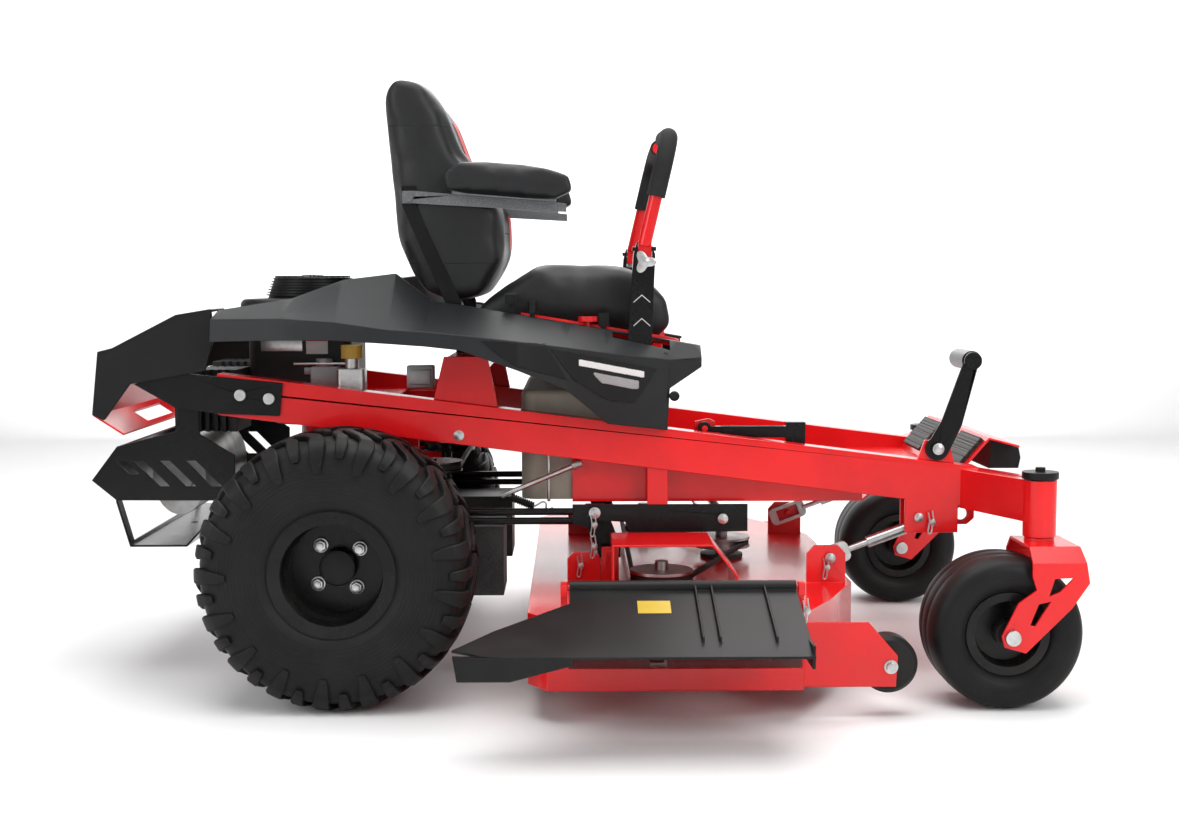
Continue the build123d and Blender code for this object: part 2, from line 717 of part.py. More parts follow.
with BuildPart() as height_lever:
    block((720, -264, 470), (850, -246, 492))
    block((716, -261, 474), (846, -249, 493), Mode.SUBTRACT)
    block((850, -264, 458), (888, -240, 500))
    across(*height_pivot, -249, -263, 13)
    block((690, -263, 480), (722, -249, 492))
    across(*height_pivot, -230, -269, pin_radius + running_gap, Mode.SUBTRACT)
keep("height_lever", height_lever.part)

# ---- control levers and lap bars -----------------------------------------------------------------
base_low, base_high = (lever_y - 13), (lever_y + 13)
lever_outline = [
    (536, 640), (548, 590), (572, 590), (582, 640), (590, 826), (582, 850), (554, 850), (548, 826),
]

with BuildPart() as lever_base:
    extrude(outline(side(-base_low), lever_outline), amount=base_high - base_low)
    block((556, -base_high - 1, 808), (584, -base_low + 1, 860), Mode.SUBTRACT)
    across(*lever_pivot, -base_low, -base_high, 14)
    across(*lever_pivot, -base_low + 1, -base_high - 1, 8 + running_gap, Mode.SUBTRACT)
    rod((546, -lever_y, swing_pivot_z), (592, -lever_y, swing_pivot_z), 4)
keep_pair("lever_base", lever_base.part)

bar_foot = (569.0, -lever_y, swing_pivot_z + 6)
bar_corner = (618.0, -lever_y, 1052.0)
bar_tip = (618.0, -lever_y + 200, 1062.0)
bar_mid = tuple(a + 0.45 * (b - a) for a, b in zip(bar_foot, bar_corner))
bend_radius = 62.0
bar_path = tube_path([bar_foot, bar_corner, bar_tip], bend_radius)
grip_path = tube_path([bar_mid, bar_corner, bar_tip], bend_radius)
bar_way = (Vector(*bar_corner) - Vector(*bar_foot)).normalized()

with BuildPart() as lap_bar:
    with BuildSketch(Plane(origin=bar_foot, z_dir=bar_way)):
        Circle(bar_radius)
    sweep(path=bar_path.wires()[0])
    block((557, -lever_y - 7, swing_pivot_z - 22), (583, -lever_y + 7, swing_pivot_z + 10))
    rod((540, -lever_y, swing_pivot_z), (600, -lever_y, swing_pivot_z), 4 + running_gap, Mode.SUBTRACT)

with BuildPart() as grip:
    with BuildSketch(Plane(origin=bar_mid, z_dir=bar_way)):
        Circle(grip_radius)
        Circle(bar_radius + 0.2, mode=Mode.SUBTRACT)
    sweep(path=grip_path.wires()[0])
keep_pair("lap_bar", Compound(children=lap_bar.part.solids() + grip.part.solids()))

# ---- controls on the console ---------------------------------------------------------------------
with BuildPart() as pto_knob:
    x = controls_x["pto_knob"]
    upright(x, -console_y, 660, console_z(x) + 14, stem_radius)
    upright(x, -console_y, console_z(x) + 8, console_z(x) + 18, 19)
keep("pto_knob", pto_knob.part)

with BuildPart() as choke_knob:
    x = controls_x["choke_knob"]
    upright(x, -console_y, 675, console_z(x) + 22, stem_radius)
    upright(x, -console_y, console_z(x) + 6, console_z(x) + 30, 9)
keep("choke_knob", choke_knob.part)

with BuildPart() as key:
    x = controls_x["key"]
    upright(x, -console_y, 660, console_z(x) + 6, stem_radius)
    block((x - 10, -console_y - 2, console_z(x) + 4), (x + 10, -console_y + 2, console_z(x) + 30))
keep("key", key.part)

with BuildPart() as throttle_lever:
    across(*throttle_pivot, -console_y - 5.5, -console_y + 5.5, 8)
    block((308, -console_y - 2, 690), (316, -console_y + 2, 735))
    block((300, -console_y - 12, 732), (324, -console_y + 12, 752))
    across(*throttle_pivot, -console_y - 6, -console_y + 6, 3 + running_gap, Mode.SUBTRACT)
keep("throttle_lever", throttle_lever.part)

# ---- seat ----------------------------------------------------------------------------------------
pan_rear, pan_front, pan_half = 186.0, 612.0, 190.0
pan_low, pan_high = 658.0, 664.0
arm_thick = 5.0
arm_outer = seat_half_width + touch_gap + arm_thick
knuckle_radius, knuckle_inner, knuckle_outer = 12.0, 150.0, 170.0
with BuildPart() as seat_pan:
    block((pan_rear, -pan_half, pan_low), (pan_front, pan_half, pan_high))
    for y in (-knuckle_outer, knuckle_inner):
        across(*seat_pivot, y, y + knuckle_outer - knuckle_inner, knuckle_radius)
        block((seat_pivot[0] - 8, y, seat_pivot[1]),
              (seat_pivot[0] + 8, y + knuckle_outer - knuckle_inner, pan_low))
        across(*seat_pivot, y - 1, y + knuckle_outer - knuckle_inner + 1, 5 + running_gap, Mode.SUBTRACT)
    for y in (-150, 130):
        block((196, y, tower_top + touch_gap), (256, y + 20, pan_low))
    back_arm = [(pan_rear, pan_low), (pan_rear, 725), (98, 925), (98, 962), (126, 962), (126, 925),
                (214, 735), (214, pan_low)]
    for y in (arm_outer, -arm_outer + arm_thick):
        extrude(outline(side(y), back_arm), amount=arm_thick)
    for y in (-arm_outer, pan_half):
        block((pan_rear, y, pan_low), (pan_rear + 28, y + arm_outer - pan_half, pan_high))
keep("seat_pan", seat_pan.part)

cushion_outline = [
    (236, pan_high + touch_gap), (606, pan_high + touch_gap), (630, 690), (620, 742), (566, 788),
    (525, 799), (358, 801), (300, 764), (240, 718),
]
with BuildPart() as seat_cushion:
    extrude(outline(side(seat_half_width), cushion_outline), amount=2 * seat_half_width)
    fillet(seat_cushion.faces().sort_by(Axis.Y)[0].edges().filter_by(Plane.XZ), 12)
keep("seat_cushion", seat_cushion.part)

back_outline = [
    (191, 736), (250, 746), (294, 820), (291, 915), (222, 1012), (204, 1032), (175, 1109),
    (137, 1168), (89, 1180), (69, 1157), (81, 1012), (95, 857), (142, 752),
]
with BuildPart() as seat_back:
    extrude(outline(side(seat_half_width), back_outline), amount=2 * seat_half_width)
keep("seat_back", seat_back.part)

armrest_y = arm_outer + touch_gap
with BuildPart() as armrest_bar:
    bar = [(100, 928), (120, 928), (420, 911), (420, 927), (380, 931), (124, 952), (100, 952)]
    extrude(outline(side(-armrest_y), bar), amount=6)
    across(*armrest_pivot, -armrest_y, -armrest_y - 10, 10)
with BuildPart() as armrest_pad:
    pad = [(190, 952), (400, 935), (432, 950), (424, 978), (380, 992), (214, 1004), (186, 984)]
    extrude(outline(side(-armrest_y - 7), pad), amount=58)
    fillet(armrest_pad.edges().filter_by(Axis.Y), 6)
with BuildPart() as pad_bracket:
    extrude(outline(side(-armrest_y - 6), [(200, 944), (400, 929), (400, 934.6), (200, 950.8)]), amount=40)
keep_pair("armrest", Compound(children=armrest_bar.part.fuse(pad_bracket.part).solids()
                              + armrest_pad.part.solids()))

# ---- deck ----------------------------------------------------------------------------------------
deck_half = [
    (deck_rear, 0), (deck_rear, 585), (385, deck_half_width), (835, deck_half_width), (842, 600),
    (905, 480), (deck_front, 300), (deck_front, 0),
]
deck_plan = deck_half + [(x, -y) for x, y in deck_half[-2:0:-1]]
deck_mouth = (423.0, 832.0)
chute_hinge_z = 246.0
chute_hinge_y = 646.0
hinge_radius = 5.0
spindles = {"right": (outer_spindle_x, -outer_spindle_y), "centre": (centre_spindle_x, 0.0),
            "left": (outer_spindle_x, outer_spindle_y)}
housing_radius = 45.0
guard_tunnel = [(503, deck_top), (503, 293), (690, 293), (735, 235), (735, deck_top)]
front_bracket = [(885, deck_top - 2), (885, 248), (900, 264), (946, 264), (961, 248), (961, deck_top - 2)]
rear_bracket = [(420, deck_top - 2), (420, 240), (432, 252), (472, 252), (484, 240), (484, deck_top - 2)]
link_bracket = [(486, deck_top - 2), (486, 262), (520, 262), (520, deck_top - 2)]
gauge_plate = [(836, 174), (954, 174), (1006, 114), (1003, 58), (836, 58)]

with BuildPart() as deck_shell:
    extrude(outline(level(deck_low), deck_plan), amount=deck_top - deck_low)
    with BuildSketch(level(deck_low)):
        add(outline(level(deck_low), deck_plan))
        offset(amount=-sheet, mode=Mode.REPLACE)
    extrude(amount=deck_top - deck_low - sheet, mode=Mode.SUBTRACT)
    block((deck_mouth[0], -deck_half_width - 1, 100),
          (deck_mouth[1], -deck_half_width + 40, deck_top - sheet),
          Mode.SUBTRACT)
    for x, y in spindles.values():
        upright(x, y, deck_top - sheet - 1, deck_top + 1, 30, Mode.SUBTRACT)
    for y in (-330, 480):
        extrude(outline(side(y), strip(guard_tunnel, sheet)), amount=150)
    for y in (-307, 313):
        extrude(outline(side(y), front_bracket), amount=plate)
        extrude(outline(side(y), rear_bracket), amount=plate)
        extrude(outline(side(y), link_bracket), amount=plate)
    for way in (-1, 1):
        across(*deck_pin, way * 297, way * 320, pin_radius)
        across(503, 250, way * 284, way * 320, pin_radius)
        across(447, 228, way * 300, way * 320, pin_radius)
    for y in (-gauge_plate_y, gauge_plate_y + plate):
        extrude(outline(side(y), gauge_plate), amount=plate)
    for x in (deck_mouth[0] - 14, deck_mouth[1] - 10):
        block((x, -deck_half_width - 2, deck_top - sheet), (x + 12, -deck_half_width + 30, deck_top + 2))
        block((x, -deck_half_width - 2, deck_top), (x + 12, -deck_half_width + 4, chute_hinge_z - 12))
        block((x, -chute_hinge_y - 8, chute_hinge_z - 14), (x + 12, -deck_half_width + 4, chute_hinge_z + 8))
    rod((deck_mouth[0] - 14, -chute_hinge_y, chute_hinge_z),
        (deck_mouth[1] + 2, -chute_hinge_y, chute_hinge_z),
        hinge_radius)
keep("deck_shell", deck_shell.part)

shaft_bore = 12.5
with BuildPart() as spindle_housings:
    for x, y in spindles.values():
        upright(x, y, deck_top, deck_top + 8, housing_radius)
        upright(x, y, 130, deck_top, 29.5)
        upright(x, y, 129, deck_top + 9, shaft_bore + running_gap, Mode.SUBTRACT)
keep("spindle_housings", spindle_housings.part)

for name, (x, y) in spindles.items():
    with BuildPart() as spindle_shaft:
        upright(x, y, 104, 250, shaft_bore)
        grooved_pulley(x, y, belt_height, pulley_radius, 22)
        upright(x, y, 104, 128, 24)
    with BuildPart() as blade:
        block((x - blade_width / 2, y - blade_length / 2, 97),
              (x + blade_width / 2, y + blade_length / 2, 103.9))
        split(bisect_by=Plane(origin=(x + blade_width / 2 - 14, y + 90, 97), z_dir=(1, -0.06, 0.9)),
              keep=Keep.BOTTOM)
        upright(x, y, 84, 97, 12)
    keep(name + "_blade", Compound(children=spindle_shaft.part.solids() + blade.part.solids()))

keep("deck_belt", belt_loop(list(spindles.values()), belt_height))

# discharge chute: a sloped sheet with a turned-down rear lobe, a front end wall and ribs
chute_reach = 244.0
chute_drop = 66.0
chute_way = Vector(0, -chute_reach, -chute_drop)
chute_plane = Plane(origin=(0, -chute_hinge_y, chute_hinge_z), x_dir=(1, 0, 0),
                    z_dir=Vector(1, 0, 0).cross(chute_way) * -1)
chute_length = hypot(chute_reach, chute_drop)
chute_rear, chute_front = deck_mouth[0] + 2, deck_mouth[1] - 14
chute_plan = [
    (chute_rear, -9), (chute_front, -9), (chute_front, -chute_length), (560, -chute_length),
    (300, -chute_length), (235, -chute_length + 26), (300, -chute_length + 92), (chute_rear, -60),
]
chute_edge_z = chute_hinge_z - chute_drop

with BuildPart() as chute:
    extrude(outline(chute_plane, chute_plan), amount=-5)
    skirt = [
        (238, chute_edge_z + 2), (430, chute_edge_z - 2), (430, chute_edge_z - 14), (330, 140), (245, 140),
    ]
    extrude(outline(side(-chute_hinge_y - chute_reach + 6), skirt), amount=5)
    block((chute_front - 5, -chute_hinge_y - chute_reach + 6, chute_edge_z - 22),
          (chute_front, -chute_hinge_y - 60, chute_edge_z + 16))
    rod((chute_rear, -chute_hinge_y, chute_hinge_z), (chute_front, -chute_hinge_y, chute_hinge_z), 12)
    for x in (640, 668, 760):
        extrude(outline(cross(x), [(-chute_hinge_y - 9, chute_hinge_z + 6),
                                   (-chute_hinge_y - 8, chute_hinge_z - 8),
                                   (-chute_hinge_y - 200, chute_hinge_z - 58),
                                   (-chute_hinge_y - 196, chute_hinge_z - 44)]), amount=4)
    rod((chute_rear - 1, -chute_hinge_y, chute_hinge_z), (chute_front + 1, -chute_hinge_y, chute_hinge_z),
        hinge_radius + running_gap, Mode.SUBTRACT)
keep("discharge_chute", chute.part)

with BuildPart() as gauge_wheel:
    across(gauge_wheel_x, gauge_wheel_z, -gauge_plate_y + 8, -gauge_plate_y + 58, gauge_wheel_radius)
    chamfer(gauge_wheel.edges().filter_by(GeomType.CIRCLE), 8)
    across(gauge_wheel_x, gauge_wheel_z, -gauge_plate_y + 64, -gauge_plate_y, 8)
keep_pair("gauge_wheel", gauge_wheel.part)

# ---- deck lift -----------------------------------------------------------------------------------
arm_y = 295.0
arm_outline = [(arm_pin[0] - 14, arm_pin[1] - 14), (arm_pin[0] - 14, arm_pin[1] + 12), (600, 340),
               (723, 334), (738, 317), (723, 300), (600, 306)]
with BuildPart() as lift_arms:
    for way in (-1, 1):
        start = -arm_y if way < 0 else arm_y + 8
        extrude(outline(side(start), arm_outline), amount=8)
        across(*arm_pin, way * 284, way * 303, 7)
    across(*arm_pivot, -322, 322, 9)
keep("lift_arms", lift_arms.part)

link_slot = (9.0, 1.8)
lift_link = [(455, 344), (492, 344), (524, 262), (524, 238), (484, 238), (455, 306)]
with BuildPart() as lift_link_part:
    extrude(outline(side(-287), lift_link), amount=6)
    slot = [(arm_pin[0] - 7 - link_slot[0], arm_pin[1] - 7 - link_slot[1]),
            (arm_pin[0] + 7 + link_slot[0], arm_pin[1] - 7 - link_slot[1]),
            (arm_pin[0] + 7 + link_slot[0], arm_pin[1] + 7 + link_slot[1]),
            (arm_pin[0] - 7 - link_slot[0], arm_pin[1] + 7 + link_slot[1])]
    extrude(outline(side(-286), slot), amount=8, mode=Mode.SUBTRACT)
    across(503, 250, -286, -294, pin_radius + running_gap, Mode.SUBTRACT)
keep_both("lift_links", lift_link_part.part)

frame_side = [
    (430, tab_low), (770, tab_low), (770, 292), (540, 288), (532, 312), (472, 312), (465, 300),
    (430, 305),
]
with BuildPart() as lift_frame:
    for way in (-1, 1):
        start = -306 if way < 0 else 312
        extrude(outline(side(start), frame_side), amount=plate)
        for z in (313, 331):
            rod((drive_hanger[1] + 8, way * 309, z), (430, way * 309, z), 7)
        block((drive_hanger[1], min(way * 264, way * 316), 303),
              (drive_hanger[1] + 10, max(way * 264, way * 316), 341))
    across(*arm_pivot, -330, 330, 9 + running_gap, Mode.SUBTRACT)
keep("lift_frame", lift_frame.part)

turnbuckle_y = 300.0
link_start = Vector(deck_pin[0], -turnbuckle_y, deck_pin[1])
link_end = Vector(link_pivot[0], -turnbuckle_y, link_pivot[1])
link_line = (link_end - link_start).normalized()
eye_slot_half, eye_slot_rise = 25.0, 12.5

with BuildPart() as front_link:
    rod(link_start + link_line * 36, link_start + link_line * 80, 6)
    rod(link_start + link_line * 80, link_start + link_line * 158, 11)
    rod(link_start + link_line * 158, link_end - link_line * 12, 6)
    across(*link_pivot, -turnbuckle_y + 8, -turnbuckle_y - 8, 15)
    across(*link_pivot, -turnbuckle_y + 9, -turnbuckle_y - 9, pin_radius + running_gap, Mode.SUBTRACT)
    with BuildSketch(Plane(origin=(deck_pin[0], -298.5, deck_pin[1]), x_dir=link_line, z_dir=(0, -1, 0))):
        RectangleRounded(84, 40, 12)
        Rectangle(2 * eye_slot_half, 2 * eye_slot_rise, mode=Mode.SUBTRACT)
    extrude(amount=8)
keep_both("front_links", front_link.part)

# ---- lift pedal ----------------------------------------------------------------------------------
pedal_y = 307.0
pedal_arm = [
    (1119, 462), (1145, 507), (1176, 594), (1190, 632), (1216, 622), (1184, 497), (1158, 442),
]
with BuildPart() as lift_pedal:
    extrude(outline(side(-pedal_y), pedal_arm), amount=plate)
    across(*pedal_pivot, -pedal_y, -pedal_y - plate, 23)
    across(1202, 622, -pedal_y - 1, -200, 19)
    across(1202, 622, -pedal_y - plate, -pedal_y - plate - 8, 17)
    across(*pedal_pivot, -pedal_y + 1, -pedal_y - plate - 1, pin_radius + running_gap, Mode.SUBTRACT)
keep("lift_pedal", lift_pedal.part)

with BuildPart() as hanger_pins:
    across(*link_pivot, -rail_inner + 3, -rail_outer - 4, pin_radius)
hanger_pair = [s for half in both_sides(hanger_pins.part) for s in half.solids()]
pieces["pivot_brackets"] = Compound(label="pivot_brackets",
                                    children=list(pieces["pivot_brackets"].solids()) + hanger_pair)

# ---- origin under the middle, and the files ------------------------------------------------------
boxes = [part.bounding_box() for part in pieces.values()]
middle_x = (min(b.min.X for b in boxes) + max(b.max.X for b in boxes)) / 2
middle_y = (min(b.min.Y for b in boxes) + max(b.max.Y for b in boxes)) / 2
lowest = min(b.min.Z for b in boxes)
print("origin", middle_x, middle_y, lowest, "nodes", len(pieces))
to_middle = Location((-middle_x, -middle_y, -lowest))
for name, part in pieces.items():
    placed = part.moved(to_middle)
    placed.label = name
    export_step(placed, "parts/" + name + ".step")
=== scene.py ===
import bpy
import json
from math import cos, pi, radians, sin
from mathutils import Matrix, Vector


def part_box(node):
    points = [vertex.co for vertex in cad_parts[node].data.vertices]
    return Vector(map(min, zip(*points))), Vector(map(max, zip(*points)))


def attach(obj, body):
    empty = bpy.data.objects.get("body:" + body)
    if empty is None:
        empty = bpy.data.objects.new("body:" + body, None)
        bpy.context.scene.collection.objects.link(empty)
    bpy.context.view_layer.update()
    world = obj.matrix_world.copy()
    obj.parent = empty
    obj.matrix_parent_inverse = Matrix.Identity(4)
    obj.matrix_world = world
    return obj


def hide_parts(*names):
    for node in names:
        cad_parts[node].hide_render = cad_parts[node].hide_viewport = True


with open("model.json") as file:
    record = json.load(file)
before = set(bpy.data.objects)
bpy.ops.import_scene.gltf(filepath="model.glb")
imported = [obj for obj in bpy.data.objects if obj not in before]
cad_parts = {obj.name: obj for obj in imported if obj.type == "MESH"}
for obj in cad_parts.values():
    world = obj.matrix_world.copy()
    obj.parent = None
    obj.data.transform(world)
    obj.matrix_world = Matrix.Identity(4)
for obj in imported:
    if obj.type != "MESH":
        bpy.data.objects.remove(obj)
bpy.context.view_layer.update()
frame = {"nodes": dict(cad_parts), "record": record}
print("frame loaded:", len(frame["nodes"]), "nodes")

# places are worked out in millimetres from the drive axle, the centre line and the ground
axleLow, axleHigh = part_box("right_drive_rim")
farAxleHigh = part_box("left_drive_rim")[1]
axleX = (axleLow.x + axleHigh.x) / 2
middleY = (axleLow.y + farAxleHigh.y) / 2
sides = (("right", -1), ("left", 1))


def at(x, y, z):
    return Vector((axleX + x / 1000, middleY + y / 1000, z / 1000))


camera = {"place": (0.0027, -3.2823, 0.7750), "turn": -0.0106, "tilt": -0.0821, "roll": 0.0018,
          "lens": 49.21, "sensor": 36, "reach": 100}
bpy.ops.object.camera_add(location=camera["place"],
                          rotation=(pi / 2 + camera["tilt"], camera["roll"], camera["turn"]))
lookout = bpy.context.object
lookout.data.lens = camera["lens"]
lookout.data.sensor_width = camera["sensor"]
lookout.data.clip_end = camera["reach"]
bpy.context.scene.camera = lookout
bpy.context.scene.view_settings.view_transform = "Standard"


# picking and shaping with the usual tools
def deselect():
    if bpy.context.object and bpy.context.object.mode != "OBJECT":
        bpy.ops.object.mode_set(mode="OBJECT")
    bpy.ops.object.select_all(action="DESELECT")


def pickOnly(piece):
    deselect()
    piece.select_set(True)
    bpy.context.view_layer.objects.active = piece


def editAll(piece):
    pickOnly(piece)
    bpy.ops.object.mode_set(mode="EDIT")
    bpy.ops.mesh.select_all(action="SELECT")


def added(name):
    piece = bpy.context.object
    piece.name = name
    return piece


def useModifier(piece, kind, **settings):
    pickOnly(piece)
    modifier = piece.modifiers.new(kind.lower(), kind)
    for key, value in settings.items():
        setattr(modifier, key, value)
    bpy.ops.object.modifier_apply(modifier=modifier.name)


def softenEdges(piece, width, segments=2, angle=35):
    useModifier(piece, "BEVEL", width=width / 1000, segments=segments, limit_method="ANGLE",
                angle_limit=radians(angle), use_clamp_overlap=False, harden_normals=False)


def mended(piece):
    editAll(piece)
    bpy.ops.mesh.remove_doubles(threshold=0.00001)
    bpy.ops.mesh.normals_make_consistent(inside=False)
    bpy.ops.object.mode_set(mode="OBJECT")


def finished(piece, body, material, smooth=30, weighted=False):
    pickOnly(piece)
    if piece.type != "MESH":
        bpy.ops.object.convert(target="MESH")
        piece = bpy.context.object
    bpy.ops.object.transform_apply(location=True, rotation=True, scale=True)
    bpy.ops.object.shade_smooth_by_angle(angle=radians(smooth))
    if weighted:
        useModifier(piece, "WEIGHTED_NORMAL", mode="FACE_AREA", keep_sharp=True, weight=50)
    piece.data.materials.clear()
    piece.data.materials.append(material)
    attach(piece, body)
    return piece


def joined(name, pieces):
    deselect()
    for piece in pieces:
        piece.select_set(True)
    bpy.context.view_layer.objects.active = pieces[0]
    if len(pieces) > 1:
        bpy.ops.object.join()
    return added(name)


def boxPiece(name, low, high, soft=1.0):
    low, high = at(*low), at(*high)
    deselect()
    bpy.ops.mesh.primitive_cube_add(size=1, location=(low + high) / 2)
    piece = added(name)
    piece.scale = [abs(a) for a in high - low]
    bpy.ops.object.transform_apply(location=True, rotation=True, scale=True)
    if soft:
        softenEdges(piece, soft)
    return piece


def rodPiece(name, start, end, radius, endRadius=None, sides=32, soft=0.6):
    start, end = at(*start), at(*end)
    way = end - start
    deselect()
    bpy.ops.mesh.primitive_cone_add(vertices=sides, radius1=radius / 1000, depth=way.length,
                                    radius2=(radius if endRadius is None else endRadius) / 1000,
                                    location=(start + end) / 2,
                                    rotation=way.to_track_quat("Z", "Y").to_euler())
    piece = added(name)
    bpy.ops.object.transform_apply(location=True, rotation=True, scale=True)
    if soft:
        softenEdges(piece, soft, angle=50)
    return piece


def wirePiece(name, points, radius, closed=False, sides=4, kind="NURBS"):
    deselect()
    bpy.ops.curve.primitive_nurbs_path_add()
    piece = added(name)
    line = piece.data
    line.splines.clear()
    line.bevel_depth = radius / 1000
    line.bevel_resolution = sides
    line.use_fill_caps = True
    spline = line.splines.new(kind)
    spline.points.add(len(points) - 1)
    for point, place in zip(spline.points, points):
        point.co = (*at(*place), 1)
    if kind == "NURBS":
        spline.order_u = 3
        spline.use_endpoint_u = not closed
        spline.resolution_u = 6
    spline.use_cyclic_u = closed
    pickOnly(piece)
    bpy.ops.object.convert(target="MESH")
    return added(name)


def outlinePiece(name, corners, filled):
    deselect()
    bpy.ops.mesh.primitive_circle_add(vertices=len(corners), fill_type="NGON" if filled else "NOTHING")
    piece = added(name)
    for vertex, corner in zip(piece.data.vertices, corners):
        vertex.co = corner
    return piece


def sheetPiece(name, points, thick, way, soft=0.6):
    piece = outlinePiece(name, [at(*p) for p in points], True)
    editAll(piece)
    bpy.ops.mesh.extrude_region_move(TRANSFORM_OT_translate={"value": [w * thick / 1000 for w in way]})
    bpy.ops.mesh.select_all(action="SELECT")
    bpy.ops.mesh.normals_make_consistent(inside=False)
    bpy.ops.object.mode_set(mode="OBJECT")
    if soft:
        softenEdges(piece, soft)
    return added(name)


# a section of places along the axis and radii, spun about it
def ringPiece(name, section, centre, axis, turns=96):
    way = {"X": 0, "Y": 1, "Z": 2}[axis]
    out = {"X": 2, "Y": 0, "Z": 0}[axis]
    corners = []
    for along, radius in section:
        corner = [0.0, 0.0, 0.0]
        corner[way] = along
        corner[out] = radius
        corners.append(at(*(c + d for c, d in zip(centre, corner))))
    isOpen = section[0] != section[-1]
    piece = outlinePiece(name, corners if isOpen else corners[:-1], False)
    if isOpen:
        ends = (0, len(corners) - 1)
        for vertex in piece.data.vertices:
            vertex.select = vertex.index in ends
        for edge in piece.data.edges:
            edge.select = set(edge.vertices) == set(ends)
        bpy.ops.object.mode_set(mode="EDIT")
        bpy.ops.mesh.delete(type="EDGE")
        bpy.ops.object.mode_set(mode="OBJECT")
    editAll(piece)
    bpy.ops.mesh.spin(steps=turns, angle=2 * pi, center=at(*centre), dupli=False,
                      axis=[1.0 if i == way else 0.0 for i in range(3)])
    bpy.ops.object.mode_set(mode="OBJECT")
    mended(piece)
    return added(name)


def copied(piece, name, move=(0, 0, 0), mirror=False):
    twin = piece.copy()
    twin.data = piece.data.copy()
    twin.name = name
    bpy.context.collection.objects.link(twin)
    for vertex in twin.data.vertices:
        vertex.co += Vector(move) / 1000
        if mirror:
            vertex.co.y = 2 * middleY - vertex.co.y
    if mirror:
        twin.data.flip_normals()
    return twin


# shader values that can be added, multiplied and compared
class Wire:
    def __init__(self, tree, socket=None):
        self.tree = tree
        self.socket = socket

    def node(self, kind, settings=None, links=None, out=0):
        made = self.tree.nodes.new(kind)
        for key, value in (settings or {}).items():
            setattr(made, key, value)
        for key, value in (links or {}).items():
            if isinstance(value, Wire):
                self.tree.links.new(value.socket, made.inputs[key])
            else:
                made.inputs[key].default_value = value
        return Wire(self.tree, made.outputs[out] if made.outputs else None)

    def maths(self, operation, a, b=0.0):
        return self.node("ShaderNodeMath", {"operation": operation}, {0: a, 1: b})

    def __add__(self, other):
        return self.maths("ADD", self, other)

    def __sub__(self, other):
        return self.maths("SUBTRACT", self, other)

    def __rsub__(self, other):
        return self.maths("SUBTRACT", other, self)

    def __mul__(self, other):
        return self.maths("MULTIPLY", self, other)

    def __gt__(self, other):
        return self.maths("GREATER_THAN", self, other)

    def __lt__(self, other):
        return self.maths("LESS_THAN", self, other)

    def __pow__(self, other):
        return self.maths("POWER", self, other)

    def __abs__(self):
        return self.maths("ABSOLUTE", self)

    __radd__ = __add__
    __rmul__ = __mul__

    def sine(self):
        return self.maths("SINE", self)

    def eased(self, low, high):
        return self.node("ShaderNodeMapRange", {"interpolation_type": "SMOOTHSTEP"},
                         {"Value": self, "From Min": low, "From Max": high})

    def noise(self, spot, scale, detail=4.0, rough=0.6):
        return self.node("ShaderNodeTexNoise", {}, {"Vector": spot, "Scale": scale, "Detail": detail,
                                                    "Roughness": rough})

    def cells(self, spot, scale):
        return self.node("ShaderNodeTexVoronoi", {"feature": "F1"}, {"Vector": spot, "Scale": scale})

    def tinted(self, amount, first, second):
        return self.node("ShaderNodeMix", {"data_type": "RGBA"}, {0: amount, 6: first, 7: second}, 2)

    def parts(self, spot):
        apart = self.node("ShaderNodeSeparateXYZ", {}, {0: spot})
        return [Wire(self.tree, socket) for socket in apart.socket.node.outputs]


def newFinish(name):
    material = bpy.data.materials.new(name)
    material.use_nodes = True
    material.node_tree.nodes.clear()
    sheet = Wire(material.node_tree)
    return material, sheet, sheet.node("ShaderNodeTexCoord", out=3)


def closeFinish(sheet, colour, roughness, height, depth, **fixed):
    bump = sheet.node("ShaderNodeBump", {}, {"Height": height, "Distance": depth / 1000, "Strength": 1.0})
    links = {"Base Color": colour, "Roughness": roughness, "Normal": bump}
    links.update({key.replace("_", " "): value for key, value in fixed.items()})
    skin = sheet.node("ShaderNodeBsdfPrincipled", {}, links)
    sheet.node("ShaderNodeOutputMaterial", {}, {"Surface": skin})


# the two tones in patches, the grain's flecks, then dust near the ground
def surfaceFinish(name, look):
    material, sheet, spot = newFinish(name)
    patch = sheet.noise(spot, look.get("patchSize", 6.0))
    fine = sheet.noise(spot, look.get("grainSize", 900.0), 3.0)
    if look.get("grain") == "cells":
        fine = sheet.cells(spot, look["grainSize"])
    if look.get("grain") == "brushed":
        stretched = sheet.node("ShaderNodeMapping", {}, {"Vector": spot, "Scale": look["brush"]})
        fine = sheet.noise(stretched, look["grainSize"], 3.0)
    low = sheet.parts(spot)[2].eased(0.45, 0.0)
    dust = low * patch.eased(0.35, 0.75) * look.get("dust", 0.1)
    colour = sheet.tinted(patch.eased(0.3, 0.7), (*look["colour"], 1), (*look["shade"], 1))
    flecks = fine.eased(0.42, 0.75) * look.get("fleck", 0.1)
    colour = sheet.tinted(flecks, colour, (*look.get("fleckTone", (0.2, 0.2, 0.2)), 1))
    colour = sheet.tinted(dust, colour, (0.32, 0.27, 0.21, 1))
    roughness = patch * look["roughSpread"] + (look["rough"] - look["roughSpread"] / 2) + dust * 0.3
    closeFinish(sheet, colour, roughness, fine, look.get("grainDepth", 0.05), **look.get("fixed", {}))
    return material


